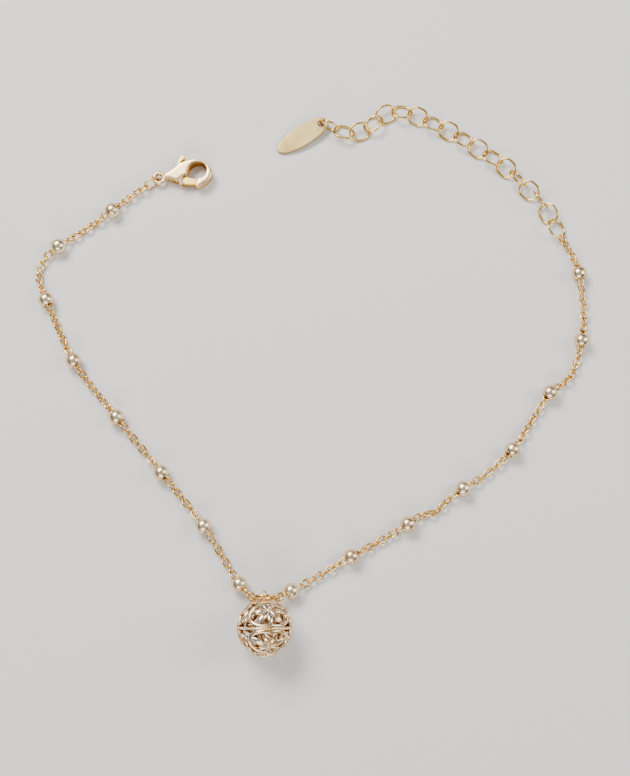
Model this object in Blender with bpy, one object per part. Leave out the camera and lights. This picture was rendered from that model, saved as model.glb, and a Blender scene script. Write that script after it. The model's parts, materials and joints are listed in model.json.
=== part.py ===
"""A lying anklet: two strands of fine chain with drilled beads, an openwork ball pendant on a ring,
a lobster clasp on the left end, and an extender chain with a leaf-shaped tag on the right end.

Metres, +Z up. X runs to the right and Y away from the pendant, the floor is at z = 0, and the origin
is below the middle of the piece.
"""

import math

import bmesh
import bpy
from mathutils import Matrix, Vector
from mathutils.geometry import delaunay_2d_cdt

MM = 0.001

# Clearances

RUNNING_GAP = 0.12 * MM  # between metal parts that hook into or turn in each other
LINK_SLACK = 0.2 * MM  # between the wires of two links that pull on each other
TAG_SLACK = 0.18 * MM  # between the tag and the ring below it
FACE_GAP = 0.2 * MM  # between a strand's end and the link that it is hooked to
RING_FACE_GAP = 0.3 * MM  # between a strand's end and the pendant ring, whose wire it meets at a slant
LAY_GAP = 0.03 * MM  # below a lying link, which rests on its neighbours too

# Fine chain and beads

CHAIN_DIAMETER = 1.2 * MM  # the solid core that stands for the fine links
CHAIN_LAY_HEIGHT = 0.8 * MM  # the middle of the fine links where they lie on the floor
BEAD_DIAMETER = 3.0 * MM
BEAD_WALL_AT_END = 0.15 * MM  # width of the flat lip round each hole
BEAD_CORE_GAP = 0.2 * MM  # between the chain's core and the bore
CHAIN_RISE_LENGTH = 5.0 * MM  # over which the chain climbs from the floor to a bead or a joint
CHAIN_POINT_STEP = 3.0 * MM
BEAD_SIDES = 12
BEAD_ARC_STEPS = 4

# Pendant

BALL_DIAMETER = 10.3 * MM
BALL_SHELL = 0.5 * MM
BALL_TILT = math.radians(7)  # of the pole that carries the eye, above the floor's plane
BALL_TURN = math.radians(45)  # of the rosettes of both halves, about the polar axis
BALL_SEAM_RIDGE = 0.12 * MM  # how far the beaded seam stands out
ROSETTES = 3  # round each half
PETALS = 8  # in each rosette
POLE_RIM_ANGLE = math.radians(23)
SEAM_HALF_ANGLE = math.radians(4)
POLE_BAND_ANGLE = math.radians(4.5)
ARCH_BAR = 0.78 * MM
PETAL_WIDTH = 1.35 * MM  # of a petal as long as half the rosette's width; shorter ones are narrower
PETAL_STEM = 0.3 * MM
PETAL_TAPER_SHARE = 0.87  # of a petal's length, over which it swells and narrows again
ROSETTE_HUB = 0.6 * MM  # radius of the boss that a rosette's petals grow from
HUB_SHIFT = math.radians(9)  # of the boss from the arch's middle, towards the pole
EYE_WIRE = 0.6 * MM
EYE_RADIUS = 0.78 * MM  # of the middle of the wire of the eye on the ball
PENDANT_RING_DIAMETER = 5.6 * MM
PENDANT_RING_WIRE = 0.6 * MM
PENDANT_RING_PLACE = (-8.5 * MM, -44.5 * MM)
RING_JOIN_ANGLE = math.radians(25)  # below the ring's middle, where the strands hold it

# Extender

EXTENDER_LINKS = 17
EXTENDER_PITCH = 3.5 * MM  # of a straight run
EXTENDER_LINK_WIDTH = 3.9 * MM
EXTENDER_WIRE = 0.4 * MM
LYING_ROLL = math.radians(26)
BEND_SLACK = 0.75  # how much more links overlap in a bend, for each 1 - cos of its angle
STANDING_ROLLS = {3: math.radians(70), 5: math.radians(50)}

# Tag

TAG_LENGTH = 12.0 * MM
TAG_WIDTH = 4.4 * MM
TAG_THICKNESS = 0.55 * MM
TAG_HOLE = 1.25 * MM
TAG_HOLE_FROM_END = 1.45 * MM
TAG_EDGE_BEVEL = 0.14 * MM
TAG_HEADING = math.radians(212.7)
TAG_END_FULLNESS = 2.3  # exponent of the outline round the hole; 2 is an ellipse
TAG_TIP_FULLNESS = 2.0

# Clasp

CLASP_LENGTH = 10.8 * MM  # from the middle of the eye to the far end of the claw
CLASP_THICKNESS = 2.4 * MM
CLASP_HEADING = math.radians(7.4)
CLASP_EDGE_BEVEL = 0.4 * MM
CLASP_EYE_RADIUS = 1.0 * MM
CLASP_EYE_WIRE = 0.8 * MM
LEVER_THICKNESS = 1.1 * MM
LEVER_PIN_DIAMETER = 0.7 * MM
LEVER_HUB_DIAMETER = 1.7 * MM
LEVER_PEG_WIDTH = 1.1 * MM
CLASP_END_LINK_LENGTH = 3.4 * MM
CLASP_END_LINK_WIDTH = 2.5 * MM
CLASP_END_LINK_WIRE = 0.4 * MM
CLASP_END_LINK_ROLL = math.radians(60)

# The claw's outline, as shares of CLASP_LENGTH from the middle of the eye: back, hook, mouth, belly
CLAW_BACK = (
    (0.105, 0.045),
    (0.165, 0.058),
    (0.300, 0.136),
    (0.393, 0.203),
    (0.555, 0.253),
    (0.733, 0.262),
    (0.880, 0.179),
    (0.970, 0.071),
    (1.000, -0.018),
    (0.965, -0.121),
    (0.891, -0.208),
    (0.790, -0.268),
    (0.700, -0.284),
)
CLAW_NIB = ((0.655, -0.282), (0.655, -0.260))
CLAW_HOLE = (
    (0.788, -0.120),
    (0.863, -0.066),
    (0.893, 0.048),
    (0.843, 0.142),
    (0.758, 0.180),
    (0.655, 0.160),
    (0.574, 0.080),
    (0.537, -0.030),
)
CLAW_BELLY = (
    (0.468, -0.055),
    (0.412, -0.232),
    (0.380, -0.232),
    (0.372, -0.105),
    (0.318, -0.128),
    (0.173, -0.052),
    (0.105, -0.045),
)
PIVOT_SHARE = (0.343, -0.046)
SLOT_END_SHARE = 0.583  # where the slot ends along the claw
GATE_TOP_SHARES = ((0.390, 0.014), (0.480, -0.040))
GATE_TIP_TOP_SHARE = (0.700, -0.142)
GATE_TIP_BOTTOM_SHARE = (0.668, -0.240)
GATE_BOTTOM_SHARES = ((0.480, -0.205), (0.333, -0.115))
PEG_END_SHARE = (0.497, 0.335)

# The chosen points of the two strands and of the extender, in millimetres

LEFT_STRAND = (
    ("bead", -13.4, -41.9),
    ("bead", -20.3, -31.0),
    ("bead", -28.5, -20.8),
    ("bead", -37.4, -10.0),
    ("bead", -46.1, 1.2),
    ("bead", -52.0, 13.6),
    ("chain", -53.3, 16.6),
    ("chain", -53.9, 19.5),
    ("chain", -52.6, 22.4),
    ("bead", -50.1, 24.7),
    ("bead", -39.7, 32.2),
    ("chain", -37.6, 34.2),
    ("chain", -35.3, 35.9),
    ("chain", -33.6, 37.1),
)
RIGHT_STRAND = (
    ("bead", -3.7, -43.2),
    ("bead", 7.5, -36.8),
    ("bead", 18.2, -30.7),
    ("chain", 20.7, -28.9),
    ("chain", 23.6, -28.3),
    ("chain", 25.4, -26.4),
    ("bead", 28.8, -23.9),
    ("chain", 32.6, -21.5),
    ("bead", 38.4, -16.4),
    ("chain", 41.8, -11.4),
    ("bead", 46.0, -5.2),
    ("chain", 50.3, -1.7),
    ("bead", 52.6, 5.3),
    ("chain", 53.4, 12.0),
    ("bead", 52.7, 19.0),
    ("chain", 51.5, 23.3),
    ("chain", 49.8, 26.4),
)
EXTENDER_ROUTE = (
    (48.4, 29.0),
    (47.3, 31.9),
    (45.8, 34.4),
    (43.2, 37.0),
    (40.7, 39.8),
    (38.4, 42.4),
    (35.4, 44.4),
    (29.7, 48.4),
    (26.5, 50.2),
    (23.3, 51.8),
    (20.3, 53.4),
    (17.3, 53.9),
    (14.3, 53.2),
    (12.4, 50.8),
    (9.6, 48.9),
    (6.3, 49.2),
    (2.4, 50.9),
)


# Scene, materials and objects


def clear_scene():
    for item in list(bpy.data.objects):
        bpy.data.objects.remove(item, do_unlink=True)


def gold(name, colour, roughness):
    material = bpy.data.materials.new(name)
    material.use_nodes = True
    shader = material.node_tree.nodes["Principled BSDF"]
    shader.inputs["Base Color"].default_value = (*colour, 1.0)
    shader.inputs["Metallic"].default_value = 1.0
    shader.inputs["Roughness"].default_value = roughness
    return material


def add_object(name, data, material, matrix=None, parent=None):
    """Links a new object; its matrix is in its parent's frame."""
    item = bpy.data.objects.new(name, data)
    bpy.context.scene.collection.objects.link(item)
    if data is not None and material is not None and not data.materials:
        data.materials.append(material)
    item.parent = parent
    item.matrix_local = matrix or Matrix.Identity(4)
    return item


def mesh_from(name, bm, smooth_angle=math.radians(40)):
    """A mesh of a closed bmesh, its faces pointing out, smooth but for edges sharper than the angle."""
    bmesh.ops.recalc_face_normals(bm, faces=bm.faces)
    if bm.calc_volume(signed=True) < 0:
        bmesh.ops.reverse_faces(bm, faces=bm.faces)
    mesh = bpy.data.meshes.new(name)
    bm.to_mesh(mesh)
    bm.free()
    mesh.shade_smooth()
    mesh.set_sharp_from_angle(angle=smooth_angle)
    return mesh


def helper(name, data, matrix=None, parent=None):
    """A cutter or an added form of a Boolean: never rendered, drawn as wire."""
    item = add_object(name, data, None, matrix, parent)
    item.hide_render = True
    item.display_type = "WIRE"
    return item


def boolean(item, operation, other):
    modifier = item.modifiers.new(operation.lower() + "_" + other.name, "BOOLEAN")
    modifier.operation = operation
    modifier.solver = "EXACT"
    modifier.object = other


def wire_curve(name, points, wire, cyclic, resolution=1):
    """A round wire along points; resolution 1 gives it 6 sides and 2 gives it 8."""
    curve = bpy.data.curves.new(name, "CURVE")
    curve.dimensions = "3D"
    curve.bevel_depth = wire / 2
    curve.bevel_resolution = resolution
    curve.use_fill_caps = not cyclic
    spline = curve.splines.new("POLY")
    spline.points.add(len(points) - 1)
    for spot, point in zip(spline.points, points):
        spot.co = (*point, 1.0)
    spline.use_cyclic_u = cyclic
    spline.use_smooth = True
    return curve


def prism(name, outline, low, high):
    """An upright solid on a plane outline."""
    bm = bmesh.new()
    face = bm.faces.new([bm.verts.new((x, y, low)) for x, y in outline])
    raised = bmesh.ops.extrude_face_region(bm, geom=[face])["geom"]
    tops = [part for part in raised if isinstance(part, bmesh.types.BMVert)]
    bmesh.ops.translate(bm, vec=(0, 0, high - low), verts=tops)
    return mesh_from(name, bm)


def drum(name, radius, low, high, sides):
    corners = [math.tau * step / sides for step in range(sides)]
    return prism(name, [(radius * math.cos(a), radius * math.sin(a)) for a in corners], low, high)


def arc_points(centre, radius, start, end, steps):
    """Plane points along an arc, both ends included."""
    angles = [start + (end - start) * step / steps for step in range(steps + 1)]
    return [(centre[0] + radius * math.cos(a), centre[1] + radius * math.sin(a)) for a in angles]


# Routes on the floor


class Route:
    """A smooth plan curve through chosen points, measured along its length and straight past its ends."""

    STEPS = 24

    def __init__(self, points):
        points = [Vector(point) for point in points]
        before = 2 * points[0] - points[1]
        after = 2 * points[-1] - points[-2]
        line = [before, *points, after]
        self.samples = [points[0]]
        self.marks = [0]
        for p0, p1, p2, p3 in zip(line, line[1:], line[2:], line[3:]):
            for step in range(1, self.STEPS + 1):
                t = step / self.STEPS
                self.samples.append(
                    0.5 * (2 * p1 + (p2 - p0) * t)
                    + 0.5 * (2 * p0 - 5 * p1 + 4 * p2 - p3) * t**2
                    + 0.5 * (3 * p1 - p0 - 3 * p2 + p3) * t**3
                )
            self.marks.append(len(self.samples) - 1)
        self.lengths = [0.0]
        for first, second in zip(self.samples, self.samples[1:]):
            self.lengths.append(self.lengths[-1] + (second - first).length)

    @property
    def length(self):
        return self.lengths[-1]

    def mark(self, index):
        """How far along the curve its chosen point of this number lies."""
        return self.lengths[self.marks[index]]

    def point(self, distance):
        if distance <= 0:
            return self.samples[0] + self.direction(0) * distance
        if distance >= self.length:
            return self.samples[-1] + self.direction(self.length) * (distance - self.length)
        index = next(i for i, length in enumerate(self.lengths) if length > distance)
        run = self.lengths[index] - self.lengths[index - 1]
        share = (distance - self.lengths[index - 1]) / run
        return self.samples[index - 1].lerp(self.samples[index], share)

    def bend(self, distance):
        """The angle between the middles of two extender links that meet at this distance."""
        before = self.direction(distance - EXTENDER_PITCH / 2)
        return before.angle(self.direction(distance + EXTENDER_PITCH / 2))

    def direction(self, distance):
        distance = min(max(distance, 0.0), self.length)
        index = next((i for i, length in enumerate(self.lengths) if length > distance), -1)
        return (self.samples[index] - self.samples[index - 1]).normalized()


def in_metres(rows):
    return [(row[-2] * MM, row[-1] * MM) for row in rows]


def eased_height(distance, peaks):
    """The chain's height: each peak is (distance, height), and between them it lies on the floor."""
    height = CHAIN_LAY_HEIGHT
    for place, top in peaks:
        share = min(abs(distance - place) / CHAIN_RISE_LENGTH, 1.0)
        rise = (top - CHAIN_LAY_HEIGHT) * math.cos(share * math.pi / 2) ** 2
        height = max(height, CHAIN_LAY_HEIGHT + rise)
    return height


# Beads and strands


def bead_mesh():
    """A drilled bead with its bore along X, cut flat at the two holes."""
    radius = BEAD_DIAMETER / 2
    bore = CHAIN_DIAMETER / 2 + BEAD_CORE_GAP
    lip = bore + BEAD_WALL_AT_END
    start = math.asin(lip / radius)
    step = (math.pi - 2 * start) / BEAD_ARC_STEPS
    arc = [start + step * i for i in range(BEAD_ARC_STEPS + 1)]
    profile = [(radius * math.cos(a), radius * math.sin(a)) for a in arc]
    profile = [(profile[0][0], bore), *profile, (profile[-1][0], bore)]
    bm = bmesh.new()
    corners = [bm.verts.new((x, 0, -r)) for x, r in profile]
    edges = [bm.edges.new(pair) for pair in zip(corners, corners[1:] + corners[:1])]
    bmesh.ops.spin(
        bm,
        geom=corners + edges,
        cent=(0, 0, 0),
        axis=(1, 0, 0),
        angle=math.tau,
        steps=BEAD_SIDES,
        use_merge=True,
    )
    return mesh_from("bead", bm)


def heading_matrix(place, height, direction):
    """Stands a piece at a plan place and height, its X along the plan direction."""
    turn = Matrix.Rotation(math.atan2(direction.y, direction.x), 4, "Z")
    return Matrix.Translation((place.x, place.y, height)) @ turn


def build_strand(side, rows, start, start_height, end_height, bead_data, metal):
    """A strand from the pendant ring's wire, at start, to its far end; returns its route."""
    route = Route([start, *in_metres(rows)])
    bead_marks = [route.mark(i + 1) for i, row in enumerate(rows) if row[0] == "bead"]
    radius = BEAD_DIAMETER / 2
    peaks = [(mark, radius) for mark in bead_marks]
    peaks += [(0.0, start_height), (route.length, end_height)]
    first = PENDANT_RING_WIRE / 2 + RING_FACE_GAP
    stops = [first]
    for mark in bead_marks:
        stops += [mark - radius, mark + radius]
    stops.append(route.length)
    points = []
    for index, (low, high) in enumerate(zip(stops, stops[1:])):
        through_bead = index % 2 == 1
        count = 1 if through_bead else max(1, round((high - low) / CHAIN_POINT_STEP))
        for step in range(count):
            points.append(low + (high - low) * step / count)
    points.append(route.length)
    line = []
    for distance in points:
        height = eased_height(distance, peaks)
        nearest = min(bead_marks, key=lambda mark: abs(mark - distance))
        if abs(abs(distance - nearest) - radius) < LAY_GAP:
            # A bead holds the chain straight and level through its bore.
            away = distance - nearest
            place = route.point(nearest) + route.direction(nearest) * away
            line.append((place.x, place.y, radius))
        else:
            place = route.point(distance)
            line.append((place.x, place.y, height))
    curve = wire_curve("strand_" + side, line, CHAIN_DIAMETER, cyclic=False, resolution=2)
    add_object("strand_" + side, curve, metal)
    for number, mark in enumerate(bead_marks, start=1):
        matrix = heading_matrix(route.point(mark), radius, route.direction(mark))
        add_object(f"bead_{side}_{number}", bead_data, None, matrix)
    return route


# Links


class LinkShape:
    """An oval link of round wire, its length along X and its width along Y."""

    def __init__(self, name, length, width, wire, metal, steps_round_end=6):
        self.wire = wire
        self.half_length = (length - wire) / 2
        self.half_width = (width - wire) / 2
        self.straight = max(self.half_length - self.half_width, 0.0)
        quarter = math.pi / 2
        ends = (((self.straight, 0), -quarter), ((-self.straight, 0), quarter))
        points = []
        for centre, start in ends:
            points += arc_points(centre, self.half_width, start, start + math.pi, steps_round_end)
        self.curve = wire_curve(name, [(x, y, 0.0) for x, y in points], wire, cyclic=True)
        self.curve.materials.append(metal)

    def lying_height(self, roll):
        """The height of its middle when its lower side rests on the floor."""
        return self.half_width * abs(math.sin(roll)) + self.wire / 2 + LAY_GAP

    def reach(self, drop, roll, bend=0.0):
        """From its middle to the joint with a like link, which hooks in at a drop below its middle."""
        overlap = (self.wire + LINK_SLACK) * (1 + BEND_SLACK * (1 - math.cos(bend)))
        offset = min(drop / max(abs(math.sin(roll)), 0.3), 0.8 * self.half_width)
        bow = math.sqrt(self.half_width**2 - offset**2)
        slope = bow / self.half_width
        return self.straight + bow - overlap / slope + overlap / 2

    def place(self, name, middle, height, direction, roll):
        matrix = heading_matrix(middle, height, direction) @ Matrix.Rotation(roll, 4, "X")
        return add_object(name, self.curve, None, matrix)


def build_extender(strand_route, metal):
    """The extender's links along their route; returns (route, distance of the tag ring's first joint)."""
    shape = LinkShape(
        "extender_link",
        EXTENDER_PITCH + 2 * EXTENDER_WIRE + LINK_SLACK,
        EXTENDER_LINK_WIDTH,
        EXTENDER_WIRE,
        metal,
    )
    route = Route([tuple(strand_route.samples[-1]), *in_metres(EXTENDER_ROUTE)])
    joint = FACE_GAP + shape.wire + LINK_SLACK / 2
    joint_height = shape.lying_height(LYING_ROLL)
    for number in range(1, EXTENDER_LINKS + 1):
        side = 1 if number % 2 else -1
        roll = side * STANDING_ROLLS.get(number, LYING_ROLL)
        height = shape.lying_height(roll)
        drop = height - joint_height
        back = shape.reach(drop, roll, route.bend(joint))
        ahead = shape.reach(drop, roll, route.bend(joint + EXTENDER_PITCH))
        start, end = route.point(joint), route.point(joint + back + ahead)
        middle = start.lerp(end, back / (back + ahead))
        shape.place(f"extender_link_{number:02d}", middle, height, (end - start).normalized(), roll)
        joint += back + ahead
    return shape, route, joint, joint_height


# Tag


def tag_outline():
    """The leaf outline round the hole, which is at the origin; the tip points along +X."""
    half, half_width = TAG_LENGTH / 2, TAG_WIDTH / 2
    middle = half - TAG_HOLE_FROM_END
    points = []
    steps = 36
    for step in range(steps):
        angle = math.tau * step / steps
        x, y = math.cos(angle), math.sin(angle)
        fullness = TAG_TIP_FULLNESS if x > 0 else TAG_END_FULLNESS
        size = (abs(x) ** fullness + abs(y) ** fullness) ** (1 / fullness)
        points.append((middle + half * x / size, half_width * y / size))
    return points


def build_tag(shape, route, joint, joint_height, metal):
    """The standing ring at the extender's end and the tag whose hole it passes through."""
    upright = math.pi / 2
    ring_height = shape.lying_height(upright)
    centre_distance = joint + shape.reach(ring_height - joint_height, upright, route.bend(joint))
    direction = (route.point(centre_distance + shape.half_length) - route.point(joint)).normalized()
    centre = route.point(joint) + direction * (centre_distance - joint)
    shape.place("tag_ring", centre, ring_height, direction, upright)

    def wire_place(height):
        """How far from the ring's middle its far wire is at this height."""
        drop = min(abs(ring_height - height), shape.half_width)
        return shape.straight + math.sqrt(shape.half_width**2 - drop**2)

    underside = shape.wire + TAG_SLACK + LAY_GAP
    for _ in range(20):
        hole_place = wire_place(underside + TAG_THICKNESS / 2)
        edge = max(hole_place - TAG_HOLE / 2 - shape.straight, 0.0)
        wire_top = ring_height - math.sqrt(shape.half_width**2 - edge**2) + shape.wire / 2
        underside = wire_top + TAG_SLACK
    hole = centre + direction * hole_place
    tip_distance = TAG_LENGTH - TAG_HOLE_FROM_END
    slope = math.asin(underside / tip_distance)
    matrix = (
        Matrix.Translation((hole.x, hole.y, underside))
        @ Matrix.Rotation(TAG_HEADING, 4, "Z")
        @ Matrix.Rotation(slope, 4, "Y")
    )
    tag = add_object("tag", prism("tag", tag_outline(), 0.0, TAG_THICKNESS), metal, matrix)
    bevel = tag.modifiers.new("soft_edge", "BEVEL")
    bevel.width = TAG_EDGE_BEVEL
    bevel.segments = 1
    bevel.limit_method = "ANGLE"
    margin = TAG_THICKNESS
    cutter = drum("tag_hole", TAG_HOLE / 2, -margin, TAG_THICKNESS + margin, 16)
    boolean(tag, "DIFFERENCE", helper("tag_hole", cutter, Matrix.Identity(4), tag))


# Pendant ball


class Rosette:
    """A flower of petals inside an arch, on one half of the ball; angles are from that half's pole.

    Its plane is the ball's surface laid flat round the arch's middle: X points to the seam.
    """

    def __init__(self, longitude, phase, radius):
        low, high = POLE_RIM_ANGLE + POLE_BAND_ANGLE / 2, math.pi / 2 - SEAM_HALF_ANGLE / 2
        self.colatitude = (low + high) / 2
        self.half_height = (high - low) / 2
        step = math.pi / ROSETTES
        self.half_width = math.asin(math.sin(self.colatitude) * math.sin(step))
        self.longitude = longitude
        self.phase = phase
        self.bar = ARCH_BAR / radius
        self.hub = ROSETTE_HUB / radius
        self.petal = PETAL_WIDTH / radius
        self.stem = PETAL_STEM / radius

    def arch(self, turn):
        """How far the middle of the arch is from the rosette's centre, towards this turn."""
        return 1 / math.hypot(math.cos(turn) / self.half_height, math.sin(turn) / self.half_width)

    def spot(self, distance, turn):
        """(colatitude, longitude) at a distance and turn from the centre; turn 0 is to the seam."""
        c = self.colatitude
        out = Vector((math.sin(c), 0, math.cos(c)))
        down = Vector((math.cos(c), 0, -math.sin(c)))
        across = Vector((0, 1, 0))
        side = math.cos(turn) * down + math.sin(turn) * across
        point = math.cos(distance) * out + math.sin(distance) * side
        return math.acos(point.z), self.longitude + math.atan2(point.y, point.x)

    def arch_from_hub(self, turn):
        """How far the arch's inner edge is from the boss, towards this turn."""
        high, wide = self.half_height - self.bar / 2, self.half_width - self.bar / 2
        across, up = math.sin(turn) / wide, math.cos(turn) / high
        shift = HUB_SHIFT / high
        square = across**2 + up**2
        return (up * shift + math.sqrt((up * shift) ** 2 + square * (1 - shift**2))) / square

    def from_hub(self, distance, turn, side=0.0):
        """(colatitude, longitude) at a distance and turn from the boss, and a step to the side."""
        x = distance * math.cos(turn) - side * math.sin(turn) - HUB_SHIFT
        y = distance * math.sin(turn) + side * math.cos(turn)
        return self.spot(math.hypot(x, y), math.atan2(y, x))

    def petal_edge(self, turn, side):
        """One edge of a petal, from the boss to the arch; side is 1 or -1."""
        steps = 4
        far = self.arch_from_hub(turn)
        widest = max(self.petal * (far - self.hub) / self.half_width, self.stem)
        edge = []
        for step in range(steps + 1):
            share = step / steps
            swell = math.sin(math.pi * min(share / PETAL_TAPER_SHARE, 1.0)) ** 2
            half = (self.stem + (widest - self.stem) * swell) / 2
            edge.append(self.from_hub(self.hub + (far - self.hub) * share, turn, side * half))
        return edge

    def petal_gaps(self):
        """The openings between neighbouring petals."""
        step = math.tau / PETALS
        for number in range(PETALS):
            turn = self.phase + step * number
            crown = []
            for share in (1 / 3, 2 / 3):
                between = turn + step * share
                crown.append(self.from_hub(self.arch_from_hub(between), between))
            yield self.petal_edge(turn, 1) + crown + self.petal_edge(turn + step, -1)[::-1]

    def spandrels(self):
        """The openings between this arch, the next one and the seam or the pole's rim."""
        sector_edge = self.longitude + math.pi / ROSETTES
        steps = 90
        edge = []
        for step in range(1, steps):
            turn = math.pi * step / steps
            colatitude, longitude = self.spot(self.arch(turn) + self.bar / 2, turn)
            edge.append((colatitude, longitude))
        limits = (
            (math.pi / 2 - SEAM_HALF_ANGLE, [p for p in edge if p[0] > self.colatitude]),
            (POLE_RIM_ANGLE + POLE_BAND_ANGLE, [p for p in reversed(edge) if p[0] < self.colatitude]),
        )
        for limit, side in limits:
            deepest = abs(limit - self.colatitude)
            inside = [p for p in side if p[1] < sector_edge and abs(p[0] - self.colatitude) < deepest]
            if len(inside) < 3:
                continue
            count = 4
            picked = [inside[round(i * (len(inside) - 1) / (count - 1))] for i in range(count)]
            base = (limit, picked[0][1])
            apex = (picked[-1][0], sector_edge)
            half = [base, *picked[:-1], apex]
            mirrored = [(c, 2 * sector_edge - g) for c, g in half[-2::-1]]
            yield half + mirrored


def inside_polygon(point, polygon):
    """Whether a plane point lies inside a polygon."""
    x, y = point
    hit = False
    for (x0, y0), (x1, y1) in zip(polygon, polygon[1:] + polygon[:1]):
        if (y0 > y) != (y1 > y) and x < x0 + (y - y0) * (x1 - x0) / (y1 - y0):
            hit = not hit
    return hit


def half_ball_sheet(radius, phase, open_pole):
    """Plane triangles of one pierced half: (points as (colatitude, longitude), triangles)."""
    seam_steps, rim_steps = 8 * ROSETTES, 4 * ROSETTES
    loops = [[(math.pi / 2, math.tau * i / seam_steps) for i in range(seam_steps)]]
    gaps = []
    for number in range(ROSETTES):
        rosette = Rosette(BALL_TURN + math.tau * number / ROSETTES, phase, radius)
        gaps += list(rosette.petal_gaps())
        gaps += list(rosette.spandrels())
    rim = [(POLE_RIM_ANGLE, math.tau * i / rim_steps) for i in range(rim_steps)]
    if open_pole:
        gaps.append(rim)
    else:
        loops += [rim, [(spot[0] / 2, spot[1]) for spot in rim[::2]]]
    loops += gaps

    def plane(spot):
        return Vector((spot[0] * math.cos(spot[1]), spot[0] * math.sin(spot[1])))

    flat, edges = [], []
    for loop in loops:
        first = len(flat)
        flat += [plane(spot) for spot in loop]
        edges += [(first + i, first + (i + 1) % len(loop)) for i in range(len(loop))]
    flat.append(Vector((0, 0)))
    points, _, triangles, *_ = delaunay_2d_cdt(flat, edges, [], 0, 1e-6)
    holes = [[tuple(plane(spot)) for spot in loop] for loop in gaps]
    kept = []
    for triangle in triangles:
        middle = sum((points[i] for i in triangle), Vector((0, 0))) / 3
        if not any(inside_polygon(middle, hole) for hole in holes):
            kept.append(triangle)
    return [(p.length, math.atan2(p.y, p.x)) for p in points], kept


def ball_mesh():
    """The pierced shell, its polar axis along Z: the eye's half above the seam, the open pole below."""
    radius = BALL_DIAMETER / 2 - BALL_SEAM_RIDGE
    bm = bmesh.new()
    halves = ((1, 0.0, False), (-1, math.pi / PETALS, True))
    for sign, phase, open_pole in halves:
        spots, triangles = half_ball_sheet(radius, phase, open_pole)
        corners = []
        for colatitude, longitude in spots:
            on_seam = colatitude > math.pi / 2 - 1e-4
            far = radius + (BALL_SEAM_RIDGE if on_seam else 0.0)
            flat = far * math.sin(colatitude)
            rise = sign * far * math.cos(colatitude)
            corners.append(bm.verts.new((flat * math.cos(longitude), flat * math.sin(longitude), rise)))
        for triangle in triangles:
            order = triangle if sign == 1 else triangle[::-1]
            bm.faces.new([corners[i] for i in order])
    bmesh.ops.remove_doubles(bm, verts=bm.verts, dist=1e-6)
    bmesh.ops.delete(bm, geom=[v for v in bm.verts if not v.link_faces], context="VERTS")
    rims = [edge for edge in bm.edges if edge.is_boundary]
    outer = list(bm.verts) + list(bm.edges) + list(bm.faces)
    copies = bmesh.ops.duplicate(bm, geom=outer)
    twin = copies["vert_map"]
    inner = copies["geom"]
    for corner in (part for part in inner if isinstance(part, bmesh.types.BMVert)):
        corner.co = corner.co.normalized() * (radius - BALL_SHELL)
    bmesh.ops.reverse_faces(bm, faces=[part for part in inner if isinstance(part, bmesh.types.BMFace)])
    for a, b in [tuple(edge.verts) for edge in rims]:
        bm.faces.new((a, b, twin[b], twin[a]))
    return mesh_from("pendant_ball", bm)


def lowest(mesh, turn):
    """The lowest height of a mesh once it is turned."""
    return min((turn @ corner.co).z for corner in mesh.vertices)


def build_pendant(ball_metal, ring_metal):
    """The ball, lying with its eye towards the strands, and its ring; returns the ring's joints."""
    mesh = ball_mesh()
    turn = Matrix.Rotation(-(math.pi / 2 - BALL_TILT), 4, "X")
    height = -lowest(mesh, turn)
    ring_x, ring_y = PENDANT_RING_PLACE
    ring_radius = (PENDANT_RING_DIAMETER - PENDANT_RING_WIRE) / 2
    pole = BALL_DIAMETER / 2 - BALL_SEAM_RIDGE
    eye_distance = pole + EYE_RADIUS - BALL_SHELL / 2 + EYE_WIRE / 4
    eye = turn @ Vector((0, 0, eye_distance))
    centre = Vector((ring_x, ring_y - eye.y, height))
    ball = add_object("pendant_ball", mesh, ball_metal, Matrix.Translation(centre) @ turn)
    circle = arc_points((0, 0), EYE_RADIUS, 0.0, math.tau, 12)[:-1]
    loop = torus_mesh("ball_eye", circle, EYE_WIRE / 2, 8)
    stand = Matrix.Translation((0, 0, eye_distance)) @ Matrix.Rotation(math.pi / 2, 4, "Y")
    boolean(ball, "UNION", helper("ball_eye", loop, stand, ball))

    ring_centre = Vector((ring_x, ring_y, centre.z + eye.z - ring_radius))
    ring_points = [(x, 0.0, z) for x, z in arc_points((0, 0), ring_radius, 0.0, math.tau, 24)[:-1]]
    ring = wire_curve("pendant_ring", ring_points, PENDANT_RING_WIRE, cyclic=True)
    add_object("pendant_ring", ring, ring_metal, Matrix.Translation(ring_centre))
    across = ring_radius * math.cos(RING_JOIN_ANGLE)
    join_height = ring_centre.z - ring_radius * math.sin(RING_JOIN_ANGLE)
    return (ring_x - across, ring_y), (ring_x + across, ring_y), join_height


def torus_mesh(name, path, wire_radius, sides):
    """A round wire round a closed plane path, as a mesh for Booleans."""
    bm = bmesh.new()
    rows = []
    count = len(path)
    for index, (x, y) in enumerate(path):
        after, before = path[(index + 1) % count], path[index - 1]
        along = Vector((after[0] - before[0], after[1] - before[1], 0)).normalized()
        out = Vector((along.y, -along.x, 0))
        row = []
        for step in range(sides):
            angle = math.tau * (step + 0.5) / sides
            offset = wire_radius * (math.cos(angle) * out + math.sin(angle) * Vector((0, 0, 1)))
            row.append(bm.verts.new(Vector((x, y, 0)) + offset))
        rows.append(row)
    for row, following in zip(rows, rows[1:] + rows[:1]):
        for i in range(sides):
            j = (i + 1) % sides
            bm.faces.new((row[i], row[j], following[j], following[i]))
    return mesh_from(name, bm)


# Clasp


def claw(shares):
    return [(CLASP_LENGTH * x, CLASP_LENGTH * y) for x, y in shares]


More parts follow.
